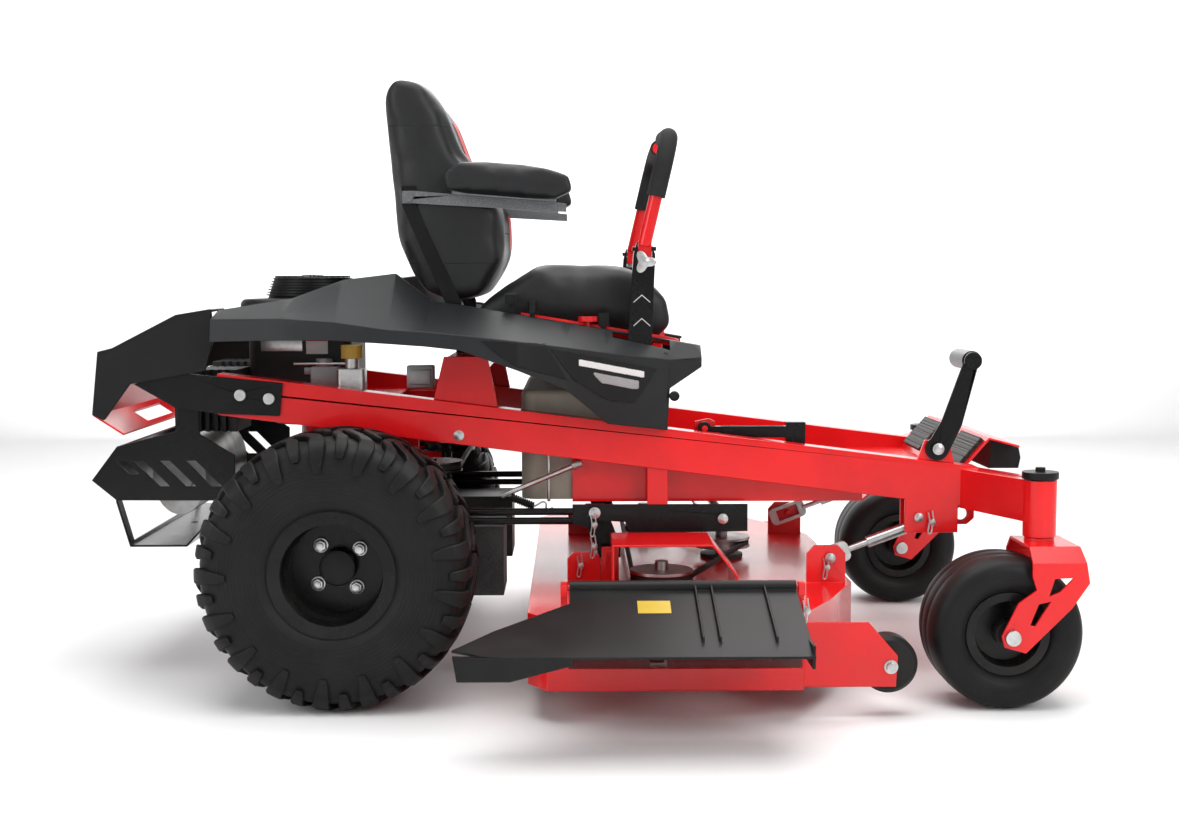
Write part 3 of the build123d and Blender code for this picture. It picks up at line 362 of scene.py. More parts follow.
finishes = {
    "redPaint": {"colour": (0.74, 0.006, 0.008), "shade": (0.62, 0.004, 0.006), "rough": 0.24,
                 "roughSpread": 0.1, "grainSize": 260.0, "grainDepth": 0.04, "fleck": 0.0, "dust": 0.04,
                 "fixed": {"Specular_IOR_Level": 0.3, "Coat_Weight": 0.25, "Coat_Roughness": 0.08}},
    "redPlastic": {"colour": (0.7, 0.008, 0.01), "shade": (0.58, 0.006, 0.008), "rough": 0.3,
                   "roughSpread": 0.1, "grainSize": 1400.0, "grainDepth": 0.03, "fleck": 0.0, "dust": 0.04,
                   "fixed": {"Specular_IOR_Level": 0.35, "Coat_Weight": 0.1, "Coat_Roughness": 0.15}},
    "blackPaint": {"colour": (0.0035, 0.0035, 0.004), "shade": (0.006, 0.006, 0.0065), "rough": 0.24,
                   "roughSpread": 0.1, "grainSize": 700.0, "grainDepth": 0.05, "fleck": 0.1,
                   "fleckTone": (0.02, 0.02, 0.02), "dust": 0.04, "fixed": {"Specular_IOR_Level": 0.2}},
    "charcoal": {"colour": (0.0075, 0.0082, 0.009), "shade": (0.0105, 0.0115, 0.0125), "rough": 0.46,
                 "roughSpread": 0.1, "grain": "cells", "grainSize": 1500.0, "grainDepth": 0.08, "fleck": 0.2,
                 "fleckTone": (0.024, 0.026, 0.028), "dust": 0.0, "fixed": {"Specular_IOR_Level": 0.28}},
    "blackPlastic": {"colour": (0.0045, 0.0045, 0.005), "shade": (0.007, 0.007, 0.0075), "rough": 0.4,
                     "roughSpread": 0.12, "grain": "cells", "grainSize": 1300.0, "grainDepth": 0.06,
                     "fleck": 0.2, "fleckTone": (0.025, 0.025, 0.025), "dust": 0.03,
                     "fixed": {"Specular_IOR_Level": 0.2}},
    "zinc": {"colour": (0.6, 0.6, 0.61), "shade": (0.47, 0.47, 0.46), "rough": 0.32, "roughSpread": 0.2,
             "patchSize": 60.0, "grainSize": 1800.0, "grainDepth": 0.03, "fleck": 0.3,
             "fleckTone": (0.36, 0.35, 0.32), "dust": 0.0, "fixed": {"Metallic": 1.0}},
    "bareSteel": {"colour": (0.42, 0.42, 0.43), "shade": (0.3, 0.29, 0.28), "rough": 0.38,
                  "roughSpread": 0.2, "patchSize": 20.0, "grain": "brushed", "brush": (0.15, 1.0, 1.0),
                  "grainSize": 1200.0, "grainDepth": 0.05, "fleck": 0.3, "fleckTone": (0.2, 0.19, 0.18),
                  "fixed": {"Metallic": 1.0}},
    "castMetal": {"colour": (0.012, 0.012, 0.013), "shade": (0.024, 0.024, 0.026), "rough": 0.5,
                  "roughSpread": 0.2, "grainSize": 420.0, "grainDepth": 0.5, "fleck": 0.35,
                  "fleckTone": (0.07, 0.07, 0.07), "fixed": {"Specular_IOR_Level": 0.3}},
    "castAlloy": {"colour": (0.42, 0.42, 0.43), "shade": (0.3, 0.3, 0.31), "rough": 0.5, "roughSpread": 0.2,
                  "grainSize": 520.0, "grainDepth": 0.35, "fleck": 0.4, "fleckTone": (0.2, 0.2, 0.2),
                  "fixed": {"Metallic": 0.85}},
    "hammered": {"colour": (0.2, 0.205, 0.21), "shade": (0.13, 0.133, 0.138), "rough": 0.34,
                 "roughSpread": 0.12, "grain": "cells", "grainSize": 420.0, "grainDepth": 0.18, "fleck": 0.3,
                 "fleckTone": (0.3, 0.31, 0.32), "fixed": {"Metallic": 0.6}},
    "tankPlastic": {"colour": (0.3, 0.27, 0.22), "shade": (0.22, 0.195, 0.15), "rough": 0.45,
                    "roughSpread": 0.15, "grainSize": 500.0, "grainDepth": 0.12, "fleck": 0.1,
                    "fleckTone": (0.16, 0.14, 0.1)},
    "mustard": {"colour": (0.6, 0.36, 0.03), "shade": (0.45, 0.26, 0.02), "rough": 0.42, "roughSpread": 0.15,
                "grainSize": 900.0, "grainDepth": 0.08, "fleck": 0.2, "fleckTone": (0.3, 0.2, 0.05)},
    "rubber": {"colour": (0.006, 0.006, 0.006), "shade": (0.011, 0.0105, 0.01), "rough": 0.6,
               "roughSpread": 0.15, "grainSize": 800.0, "grainDepth": 0.12, "fleck": 0.3,
               "fleckTone": (0.025, 0.025, 0.024), "fixed": {"Specular_IOR_Level": 0.18}},
    "foam": {"colour": (0.007, 0.007, 0.0075), "shade": (0.013, 0.013, 0.0135), "rough": 0.75,
             "roughSpread": 0.1, "grain": "cells", "grainSize": 900.0, "grainDepth": 0.4, "fleck": 0.4,
             "fleckTone": (0.035, 0.035, 0.035), "fixed": {"Specular_IOR_Level": 0.25}},
    "whiteInk": {"colour": (0.75, 0.75, 0.74), "shade": (0.62, 0.62, 0.61), "rough": 0.4, "roughSpread": 0.1,
                 "grainSize": 700.0, "grainDepth": 0.03, "fleck": 0.1},
    "yellowInk": {"colour": (0.62, 0.42, 0.02), "shade": (0.52, 0.34, 0.015), "rough": 0.35,
                  "roughSpread": 0.1, "grainSize": 700.0, "grainDepth": 0.03, "fleck": 0.1},
}
made = {name: surfaceFinish(name, look) for name, look in finishes.items()}
matTread = {"studSize": 95.0, "evenness": 0.1, "low": (0.006, 0.006, 0.006, 1),
            "high": (0.02, 0.02, 0.02, 1), "grainSize": 900.0, "tall": 2.0}


def treadMat(name, look):
    material, sheet, spot = newFinish(name)
    studs = sheet.node("ShaderNodeTexVoronoi", {"feature": "DISTANCE_TO_EDGE"},
                       {"Vector": spot, "Scale": look["studSize"], "Randomness": look["evenness"]})
    fine = sheet.noise(spot, look["grainSize"], 3.0)
    raised = studs.eased(0.06, 0.16)
    colour = sheet.tinted(raised, look["low"], look["high"])
    closeFinish(sheet, colour, fine * 0.2 + 0.5, raised + fine * 0.05, look["tall"])
    return material


made["matTread"] = treadMat("matTread", matTread)
print("finishes made:", len(made))

# every model node gets a merged copy with softened edges and its own finish
bodyOf = {node: body for body, nodes in frame["record"]["behaviour"]["bodies"].items() for node in nodes}


def copyNode(node, name):
    piece = frame["nodes"][node].copy()
    piece.data = piece.data.copy()
    piece.name = name
    bpy.context.collection.objects.link(piece)
    piece.parent = None
    editAll(piece)
    bpy.ops.mesh.remove_doubles(threshold=0.00002)
    bpy.ops.object.mode_set(mode="OBJECT")
    return piece


# lowest and highest x, y and z of a piece
def spread(piece):
    xs, ys, zs = zip(*(v.co for v in piece.data.vertices))
    return [(min(xs) - axleX) * 1000, (max(xs) - axleX) * 1000, (min(ys) - middleY) * 1000,
            (max(ys) - middleY) * 1000, min(zs) * 1000, max(zs) * 1000]


def looseParts(node, name):
    copyNode(node, name)
    bpy.ops.object.mode_set(mode="EDIT")
    bpy.ops.mesh.select_all(action="SELECT")
    bpy.ops.mesh.separate(type="LOOSE")
    bpy.ops.object.mode_set(mode="OBJECT")
    return list(bpy.context.selected_objects)


def dressed(node, finish, edge):
    piece = joined(node + "_" + finish, [copyNode(node, node + "Part")])
    softenEdges(piece, edge, 2)
    finished(piece, bodyOf[node], made[finish], 32, True)
    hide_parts(node)
    return piece


# a node of several solids, where the rule says from a solid's spread which finish it has
def sortedOut(node, edge, rule, smooth=32):
    groups = {}
    for part in looseParts(node, node + "Part"):
        groups.setdefault(rule(*spread(part)), []).append(part)
    for finish, parts in groups.items():
        piece = joined(node + "_" + finish, parts)
        softenEdges(piece, edge, 2)
        finished(piece, bodyOf[node], made[finish], smooth, True)
        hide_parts(node)


# finish and edge radius of the nodes that have one finish
dress = {
    "frame_rails": ("redPaint", 1.5), "cross_members": ("redPaint", 1.0), "rear_hood": ("redPlastic", 1.5),
    "side_guards": ("blackPlastic", 1.5), "engine_guard": ("blackPaint", 0.8),
    "engine_block": ("castMetal", 0.8), "blower_housing": ("blackPlastic", 2.0),
    "muffler": ("bareSteel", 1.0), "pump_belt": ("rubber", 0.5), "transaxles": ("castMetal", 1.5),
    "right_fender": ("charcoal", 1.6), "left_fender": ("charcoal", 1.6), "floor_pan": ("redPaint", 1.0),
    "fuel_tank": ("tankPlastic", 2.0), "pivot_brackets": ("redPaint", 0.6),
    "lift_frame": ("blackPaint", 0.8), "crank_pulley": ("zinc", 0.5),
    "right_pump_pulley": ("blackPaint", 0.5), "left_pump_pulley": ("blackPaint", 0.5),
    "fuel_cap": ("blackPlastic", 0.8), "lift_arms": ("blackPaint", 0.6), "front_links": ("zinc", 0.5),
    "lift_links": ("blackPaint", 0.6), "deck_shell": ("redPaint", 1.2),
    "spindle_housings": ("castMetal", 1.0), "deck_belt": ("rubber", 0.5), "right_blade": ("bareSteel", 0.4),
    "centre_blade": ("bareSteel", 0.4), "left_blade": ("bareSteel", 0.4),
    "discharge_chute": ("blackPlastic", 1.2), "right_lever_base": ("blackPaint", 0.6),
    "left_lever_base": ("blackPaint", 0.6), "seat_pan": ("blackPaint", 1.0), "pto_knob": ("redPlastic", 0.6),
    "choke_knob": ("blackPlastic", 0.5), "key": ("blackPlastic", 0.4),
    "throttle_lever": ("blackPlastic", 0.6), "height_lever": ("blackPaint", 0.6),
    "right_gauge_wheel": ("blackPlastic", 1.0), "left_gauge_wheel": ("blackPlastic", 1.0),
    "right_drive_rim": ("blackPaint", 0.6), "left_drive_rim": ("blackPaint", 0.6),
    "right_caster_rim": ("blackPaint", 0.6), "left_caster_rim": ("blackPaint", 0.6),
}
shapes = {node: dressed(node, finish, edge) for node, (finish, edge) in dress.items()}

# heights and lengths that tell the solids of one node apart
solids = {"capAbove": 414, "axleBelow": 160, "gripAbove": 900, "boltUnder": 45, "rollerAbove": 590,
          "noseFrom": 1250, "oilCapAbove": 620}


def forkRule(x0, x1, y0, y1, z0, z1):
    if z0 > solids["capAbove"]:
        return "blackPlastic"
    return "zinc" if z1 < solids["axleBelow"] else "redPaint"


def barRule(x0, x1, y0, y1, z0, z1):
    return "foam" if z0 > solids["gripAbove"] else "redPaint"


def plateRule(x0, x1, y0, y1, z0, z1):
    return "zinc" if x1 - x0 < solids["boltUnder"] else "blackPaint"


def pedalRule(x0, x1, y0, y1, z0, z1):
    return "rubber" if z0 > solids["rollerAbove"] else "blackPaint"


def matRule(x0, x1, y0, y1, z0, z1):
    return "blackPlastic" if x0 > solids["noseFrom"] else "matTread"


def reservoirRule(x0, x1, y0, y1, z0, z1):
    return "mustard" if z0 > solids["oilCapAbove"] else "zinc"


for side, sign in sides:
    sortedOut(side + "_caster_fork", 1.0, forkRule)
    sortedOut(side + "_lap_bar", 0.4, barRule, 40)
sortedOut("rear_frame_plates", 1.0, plateRule)
sortedOut("lift_pedal", 1.0, pedalRule)
sortedOut("foot_mats", 0.8, matRule)
sortedOut("oil_reservoir", 0.8, reservoirRule)
print("nodes dressed:", len(shapes))


# rubber with fine rings on its walls and a little dust on the tread
def tyreFinish(name, centre, look):
    material, sheet, spot = newFinish(name)
    along, across, up = sheet.parts(spot)
    reach = ((along - centre.x) * (along - centre.x) + (up - centre.z) * (up - centre.z)) ** 0.5
    patch = sheet.noise(spot, 14.0)
    fine = sheet.noise(spot, 900.0, 3.0)
    rings = (reach * look["ringPitch"]).sine()
    lines = rings.eased(0.9, 1.0) * (reach > look["ringLow"]) * (reach < look["ringHigh"])
    colour = sheet.tinted(patch.eased(0.3, 0.7), (*look["colour"], 1), (*look["shade"], 1))
    dust = (reach > look["treadFrom"]) * patch.eased(0.3, 0.8) * look["dust"]
    colour = sheet.tinted(dust, colour, (0.06, 0.055, 0.05, 1))
    height = fine * 0.12 + lines * 1.0 + patch * 0.4
    closeFinish(sheet, colour, patch * 0.14 + look["rough"], height, 0.5, Specular_IOR_Level=0.2)
    return material


# half sections run from the bead over the wall to the middle of the tread, across and out
driveTyre = {"radius": 254.0, "pitches": 17, "lugHeight": 11.5, "axle": (0, 455, 254), "turns": 120,
             "bead": [(-108, 100), (-109.5, 117), (-116, 124)],
             "half": [(-122, 140), (-125, 165), (-124.5, 192), (-121, 214), (-111, 230), (-95, 238),
                      (-60, 242)],
             "crown": [(0, 243)], "back": [(90, 100), (-90, 100)],
             "look": {"colour": (0.005, 0.005, 0.0052), "shade": (0.0085, 0.0085, 0.0088),
                      "ringPitch": 900.0, "ringLow": 0.128, "ringHigh": 0.2, "treadFrom": 0.225, "dust": 0.2,
                      "rough": 0.45}}
casterTyre = {"axle": (1216, 490, 139.7), "turns": 96, "bead": [(-60, 76), (-64, 80), (-70, 86), (-74, 96)],
              "half": [(-76, 108), (-74.5, 120), (-69, 130), (-58, 136), (-40, 139), (-22, 139.7),
                       (-20, 138.6), (-18, 139.7)],
              "crown": [(0, 139.7)], "back": [],
              "look": {"colour": (0.005, 0.005, 0.0052), "shade": (0.008, 0.008, 0.0082),
                       "ringPitch": 1300.0, "ringLow": 0.086, "ringHigh": 0.112, "treadFrom": 0.13,
                       "dust": 0.15, "rough": 0.4}}


def bothWalls(half, crown):
    return half + crown + [(-across, out) for across, out in reversed(half)]


def tyreSection(tyre):
    walls = bothWalls(tyre["bead"] + tyre["half"], tyre["crown"])
    return walls + tyre["back"] + [walls[0]]


# a place on the drive tyre's tread, by the way across and around it and the height above it
def treadPlace(across, around, height):
    section = bothWalls(driveTyre["half"], driveTyre["crown"])
    lengths = [0.0]
    for (a, b), (c, d) in zip(section, section[1:]):
        lengths.append(lengths[-1] + ((c - a) ** 2 + (d - b) ** 2) ** 0.5)
    wanted = lengths[-1] / 2 + across
    for i in range(len(section) - 1):
        if wanted <= lengths[i + 1] or i == len(section) - 2:
            share = (wanted - lengths[i]) / (lengths[i + 1] - lengths[i])
            (a, b), (c, d) = section[i], section[i + 1]
            wall, reach = a + (c - a) * share, b + (d - b) * share
            outward = Vector((-(d - b), c - a)).normalized()
            wall += outward.x * height
            reach += outward.y * height
            break
    angle = around / driveTyre["radius"]
    return reach * sin(angle), wall, reach * cos(angle)


lugShapes = [  # centre lines across and around the tread, with half widths, for one pitch
    ([(-6, -30), (22, -22), (50, -4), (74, 14), (96, 22)], [10, 12, 12, 13, 14]),
    ([(96, 22), (112, 24), (128, 22), (146, 20), (160, 20)], [15, 16, 15, 12, 8]),
    ([(40, -44), (62, -38), (86, -26), (112, -23), (134, -24)], [8, 10, 11, 12, 9]),
    ([(-34, 4), (-8, 10), (12, 20), (30, 34)], [8, 10, 10, 7]),
]
lugEdge = {"bevel": 2.2, "shoulderFrom": 112, "shoulder": 50, "drop": 0.55, "sunk": 0.6, "root": 2.5}


def treadLugs(name, side):
    pitch = 2 * pi * driveTyre["radius"] / driveTyre["pitches"]
    corners, faces = [], []
    for turn in range(driveTyre["pitches"]):
        for flip in (1, -1):
            shift = turn * pitch + (0.0 if flip > 0 else pitch / 2)
            for line, halves in lugShapes:
                start = len(corners)
                for (across, around), half in zip(line, halves):
                    corners += [(across * flip, around + edge * half + shift, 0.0) for edge in (-1, 1)]
                for a in range(start, len(corners) - 2, 2):
                    quad = (a, a + 1, a + 3, a + 2)
                    faces.append(quad if flip < 0 else quad[::-1])
    mesh = bpy.data.meshes.new(name)
    mesh.from_pydata([Vector(c) for c in corners], [], faces)
    piece = bpy.data.objects.new(name, mesh)
    bpy.context.collection.objects.link(piece)
    editAll(piece)
    bpy.ops.mesh.subdivide(number_cuts=1)
    bpy.ops.mesh.extrude_region_move(TRANSFORM_OT_translate={"value": (0, 0, driveTyre["lugHeight"])})
    bpy.ops.mesh.select_all(action="SELECT")
    bpy.ops.mesh.normals_make_consistent(inside=False)
    bpy.ops.object.mode_set(mode="OBJECT")
    useModifier(piece, "BEVEL", width=lugEdge["bevel"], segments=1, limit_method="ANGLE",
                angle_limit=radians(50), use_clamp_overlap=False)
    x, y, z = driveTyre["axle"]
    for vertex in piece.data.vertices:
        drop = min(1.0, max(0.0, (abs(vertex.co.x) - lugEdge["shoulderFrom"]) / lugEdge["shoulder"]))
        tall = vertex.co.z * (1 - lugEdge["drop"] * drop) - lugEdge["sunk"]
        px, py, pz = treadPlace(vertex.co.x, vertex.co.y, tall if vertex.co.z > 0.5 else -lugEdge["root"])
        vertex.co = at(x + px, side * y + py, z + pz)
    mended(piece)
    return piece


for side, sign in sides:
    x, y, z = driveTyre["axle"]
    carcass = ringPiece("carcass", tyreSection(driveTyre), (x, sign * y, z), "Y", driveTyre["turns"])
    lugs = treadLugs("lugs", sign)
    material = tyreFinish(side + "DriveRubber", at(x, sign * y, z), driveTyre["look"])
    tyre = finished(joined(side + "DriveTyre", [carcass, lugs]), side + "_wheel", material, 34)
    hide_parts(side + "_drive_tyre")
for side, sign in sides:
    x, y, z = casterTyre["axle"]
    tyre = ringPiece(side + "CasterTyre", tyreSection(casterTyre), (x, sign * y, z), "Y",
                     casterTyre["turns"])
    material = tyreFinish(side + "CasterRubber", at(x, sign * y, z), casterTyre["look"])
    finished(tyre, side + "_caster", material, 50)
    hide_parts(side + "_caster_tyre")
print("tyres made")


# seat: vinyl cushions swollen by cloth pressure, then seams
vinyl = {"dark": (0.006, 0.0062, 0.0068, 1), "light": (0.01, 0.0105, 0.0115, 1),
         "grainTone": (0.016, 0.0165, 0.0175, 1), "inlayTone": (0.55, 0.012, 0.012, 1), "patchSize": 9.0,
         "grainSize": 620.0, "poreSize": 1500.0, "creaseSize": 38.0, "rough": 0.33, "tall": 0.25}


def vinylFinish(name, inlay=None):
    material, sheet, spot = newFinish(name)
    patch = sheet.noise(spot, vinyl["patchSize"])
    grain = sheet.cells(spot, vinyl["grainSize"])
    fine = sheet.noise(spot, vinyl["poreSize"], 2.0)
    crease = sheet.noise(spot, vinyl["creaseSize"], 5.0, 0.7)
    colour = sheet.tinted(patch.eased(0.3, 0.7), vinyl["dark"], vinyl["light"])
    colour = sheet.tinted(grain.eased(0.0, 0.5) * 0.25, colour, vinyl["grainTone"])
    if inlay:
        x, y, z = sheet.parts(spot)
        colour = sheet.tinted(inlay(x - axleX, abs(y - middleY), z), colour, vinyl["inlayTone"])
    height = grain * 0.5 + fine * 0.2 + crease * 0.6
    closeFinish(sheet, colour, patch * 0.1 + grain * 0.1 + vinyl["rough"], height, vinyl["tall"],
                Specular_IOR_Level=0.3)
    return material


# red inlays on both side rolls of the back, above and below the armrests, in metres
def backInlay(x, y, z):
    stripe = y.eased(0.146, 0.149) * (1 - y.eased(0.166, 0.169))
    high = z.eased(1.0, 1.01) * (1 - z.eased(1.12, 1.125))
    low = z.eased(0.84, 0.85) * (1 - z.eased(0.915, 0.92))
    return stripe * (high + low) * x.eased(0.12, 0.13)


def swollen(name, piece, look, dish=None):
    piece.name = name
    useModifier(piece, "REMESH", mode="VOXEL", voxel_size=look["voxel"] / 1000)
    useModifier(piece, "SMOOTH", factor=0.5, iterations=look["soften"])
    if dish:
        for vertex in piece.data.vertices:
            vertex.co += dish(vertex.co, vertex.normal)
        useModifier(piece, "SMOOTH", factor=0.5, iterations=6)
    inflate(piece, look)
    useModifier(piece, "SMOOTH", factor=0.5, iterations=look["settle"])
    useModifier(piece, "SUBSURF", levels=1, render_levels=1)
    return piece


clothRun = {"steps": 20, "quality": 4, "mass": 0.3, "tension": 15}


def inflate(piece, look):
    before = [v.co.copy() for v in piece.data.vertices]
    pickOnly(piece)
    cloth = piece.modifiers.new("cloth", "CLOTH")
    cloth.settings.quality = clothRun["quality"]
    cloth.settings.mass = clothRun["mass"]
    cloth.settings.tension_stiffness = look.get("tension", clothRun["tension"])
    cloth.settings.use_pressure = True
    cloth.settings.uniform_pressure_force = look["pressure"]
    cloth.settings.effector_weights.gravity = 0
    cloth.point_cache.frame_start = 1
    cloth.point_cache.frame_end = clothRun["steps"]
    for step in range(1, clothRun["steps"] + 1):
        bpy.context.scene.frame_set(step)
    bpy.ops.object.modifier_apply(modifier="cloth")
    bpy.context.scene.frame_set(1)
    cap = look["cap"] / 1000
    for vertex, old in zip(piece.data.vertices, before):
        move = vertex.co - old
        move.y *= look["sideways"]
        if move.length > cap:
            move = move.normalized() * cap
        vertex.co = old + move


# the sat-on face sinks between the side rolls
def hollow(depth, halfWidth, way, low):
    push = Vector(way)

    def move(place, normal):
        off = abs(place.y - middleY) * 1000
        share = max(0.0, 1 - (off / halfWidth) ** 4)
        facing = max(0.0, -normal.dot(push))
        height = min(1.0, max(0.0, (place.z * 1000 - low) / 60))
        return push * (depth / 1000 * share * facing * height)
    return move


backLook = {"voxel": 6.0, "soften": 8, "pressure": 3.0, "cap": 9.0, "tension": 40, "sideways": 0.25,
            "settle": 18, "dish": {"depth": 26, "halfWidth": 165, "way": (-1, 0, 0), "low": 800}}
cushionLook = {"voxel": 6.0, "soften": 8, "pressure": 3.0, "cap": 10.0, "tension": 40, "sideways": 0.5,
               "settle": 16, "dish": {"depth": 34, "halfWidth": 175, "way": (0, 0, -1), "low": 690}}
padLook = {"voxel": 4.0, "soften": 4, "pressure": 3.0, "cap": 5.0, "sideways": 0.6, "settle": 5}

seatBack = swollen("seatBackrest", copyNode("seat_back", "seatBackrest"), backLook,
                   hollow(**backLook["dish"]))
finished(seatBack, "seat", vinylFinish("backVinyl", backInlay), 60)
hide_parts("seat_back")
seatCushion = swollen("seatBottom", copyNode("seat_cushion", "seatBottom"), cushionLook,
                      hollow(**cushionLook["dish"]))
finished(seatCushion, "seat", vinylFinish("cushionVinyl"), 60)
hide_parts("seat_cushion")
padVinyl = vinylFinish("padVinyl")
for side, sign in sides:
    solidsOfArm = sorted(looseParts(side + "_armrest", side + "Arm"), key=lambda part: spread(part)[5])
    bar = joined(side + "ArmBar", solidsOfArm[:-1])
    softenEdges(bar, 0.8)
    finished(bar, side + "_arm", made["hammered"], 32, True)
    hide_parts(side + "_armrest")
    pad = swollen(side + "ArmPad", solidsOfArm[-1], padLook)
    finished(pad, side + "_arm", padVinyl, 60)
    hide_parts(side + "_armrest")
print("seat made")

# bolt heads on the right side with their size, height and body; those marked True have a left twin
bolts = {
    "railBolt": ((212, -320.2, 481), 8, 5, "chassis", True),
    "armPinBolt": ((473, -322.2, 330), 9, 4, "arms", True),
    "armPivotBolt": ((721, -322.2, 318), 8, 4, "arms", True),
    "hangerBolt": ((1100, -326.2, 320), 7, 4, "chassis", True),
    "pedalBolt": ((1137, -321.2, 452), 9, 5, "pedal", False),
    "gaugeBolt": ((994, -606.2, 94), 10, 6, "deck", True),
    "linkEyeBolt": ((930, -320.5, 240), 8, 4, "deck", True),
}
boltShape = {"washer": 1.25, "washerTall": 1.6, "taper": 0.96}


def hexBolt(name, place, way, size, tall, body):
    way = Vector(way)
    seat = Vector(place)
    start = seat + way * boltShape["washerTall"]
    washer = rodPiece(name + "Washer", seat, start, size * boltShape["washer"], sides=28, soft=0.4)
    head = rodPiece(name + "Head", start, start + way * tall, size, size * boltShape["taper"], sides=6,
                    soft=0.7)
    return finished(joined(name, [washer, head]), body, made["zinc"], 30)


for name, (place, size, tall, body, hasTwin) in bolts.items():
    bolt = hexBolt(name + "Right", place, (0, -1, 0), size, tall, body)
    if hasTwin:
        twin = copied(bolt, name + "Left", mirror=True)
        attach(twin, body)

# lug nuts, hub cap and rolled rim beads; places are across the machine and out from the axle
lugNuts = {"face": 468.5, "count": 4, "first": 40, "circle": 50.8, "nut": (0, 10, 12.5, 10.5),
           "stud": (0, 17, 6.4, 6.4), "ring": (-5, 1.5, 14.5, 13.5)}
hubCap = [(467.0, 33.5), (488, 33.5), (491, 32), (492.5, 28), (493, 0.01)]
rimBeads = ((560, 113.0), (538, 101.0), (519, 96.0))
beadShape = [(-4, -1.5), (-1, -2.4), (2, -4.5), (-2, -6), (-6, -4.0), (-4, -1.5)]
for side, sign in sides:
    nuts = []
    for i in range(lugNuts["count"]):
        turn = radians(lugNuts["first"] + 360 / lugNuts["count"] * i)
        spot = Vector((lugNuts["circle"] * cos(turn), sign * lugNuts["face"],
                       254 + lugNuts["circle"] * sin(turn)))
        for part, corners, soft in (("nut", 6, 0.8), ("stud", 20, 0.6), ("ring", 28, 0.5)):
            low, high, radius, endRadius = lugNuts[part]
            nuts.append(rodPiece(part, spot + Vector((0, sign * low, 0)), spot + Vector((0, sign * high, 0)),
                                 radius, endRadius, sides=corners, soft=soft))
    finished(joined(side + "LugNuts", nuts), side + "_wheel", made["zinc"], 30)
    cap = ringPiece(side + "HubCap", [(sign * across, out) for across, out in hubCap], (0, 0, 254), "Y", 48)
    finished(cap, side + "_wheel", made["blackPlastic"], 30)
    for j, (across, out) in enumerate(rimBeads):
        section = [(sign * (across + a), out + b) for a, b in beadShape]
        bead = ringPiece(side + "RimBead" + str(j), section, (0, 0, 254), "Y", 96)
        finished(bead, side + "_wheel", made["blackPaint"], 60)
print("bolts made")

# hairpin clips on the pins of the deck hangers and the lift arms
clipLine = [(0, 0, 22), (1.5, 0, 8), (4, 0, 0), (1, 0, -9), (-3, 0, -4), (1, 0, 2), (0, 0, -2), (-1, 0, -20),
            (-5, 0, -24), (-9, 0, -20), (-6, 0, -8), (-5, 0, 6), (-8, 0, 18)]
clipPin = {"behind": 14, "proud": 5, "radius": 5.5, "wire": 1.5}
clips = {"armPinClip": ((473, -330, 308), "deck"), "deckRearClip": ((447, -323, 228), "deck"),
         "deckFrontClip": ((924, -323, 222), "deck"), "hangerClip": ((1125, -332, 312), "chassis"),
         "chuteClip": ((838, -652, 205), "deck"), "lowClip": ((473, -330, 266), "deck")}
for name, (place, body) in clips.items():
    line = [tuple(p + c for p, c in zip(place, corner)) for corner in clipLine]
    finished(wirePiece(name, line, clipPin["wire"]), body, made["zinc"], 60)
    x, y, z = place
    stub = rodPiece(name + "Pin", (x, y + clipPin["behind"], z), (x, y - clipPin["proud"], z),
                    clipPin["radius"], sides=24)
    finished(stub, body, made["zinc"], 40)

# brake rod, spring and hook under the right rail
rods = {"brakeRod": ((292, -296, 360), (440, -296, 422), 5, 24, 0.6, "zinc"),
        "brakeRodEnd": ((430, -296, 418), (448, -296, 425), 8, 24, 1.5, "castAlloy"),
        "tankRod": ((384, -285, 348), (384, -285, 452), 3.2, 20, 0.6, "zinc"),
        "linkRod": ((-128, -176, 612), (-18, -176, 612), 2.6, 16, 0.6, "zinc")}
for name, (start, end, radius, corners, soft, look) in rods.items():
    finished(rodPiece(name, start, end, radius, sides=corners, soft=soft), "chassis", made[look], 40)
spring = {"start": (312, -298, 358), "step": (0.6, -0.25), "turn": 0.9, "radius": 8, "points": 72,
          "wire": 1.7}
coil = []
for i in range(spring["points"]):
    x, y, z = spring["start"]
    x, z = x + i * spring["step"][0], z + i * spring["step"][1]
    coil.append((x, y + spring["radius"] * cos(i * spring["turn"]),
                 z + spring["radius"] * sin(i * spring["turn"])))
finished(wirePiece("coilSpring", coil, spring["wire"], sides=3), "chassis", made["blackPaint"], 60)
hook = {"line": [(355, -298, 340), (364, -298, 344), (372, -298, 350), (380, -298, 346), (378, -298, 336),
                 (384, -298, 332), (392, -298, 338)], "wire": 2.0}
finished(wirePiece("springHook", hook["line"], hook["wire"], sides=3), "chassis", made["zinc"], 60)

# fan screen of stacked slats with ribs and a hub on top
fan = {"centre": (-115, 0, 0), "slats": 7, "low": 748, "pitch": 5.6, "reach": 94, "taper": 2.3,
       "slat": [(0, -3), (0, 3.2), (2.4, 2.8), (2.4, -3), (0, -3)], "ribs": 30,
       "ribLine": (22, 78, 787.2, 1.6), "hub": [(786, 0.01), (786, 24), (789, 24), (791, 20), (791.5, 0.01)]}
rings = []
for i in range(fan["slats"]):
    z, reach = fan["low"] + i * fan["pitch"], fan["reach"] - i * fan["taper"]
    rings.append(ringPiece("slat", [(z + a, reach + b) for a, b in fan["slat"]], fan["centre"], "Z", 64))
ribStart, ribEnd, ribZ, ribRadius = fan["ribLine"]
for i in range(fan["ribs"]):
    turn = 2 * pi * i / fan["ribs"]
    way = Vector((cos(turn), sin(turn), 0))
    middle = Vector(fan["centre"]) + Vector((0, 0, ribZ))
    rings.append(rodPiece("rib", middle + way * ribStart, middle + way * ribEnd, ribRadius, sides=8, soft=0))
rings.append(ringPiece("hub", fan["hub"], fan["centre"], "Z", 40))
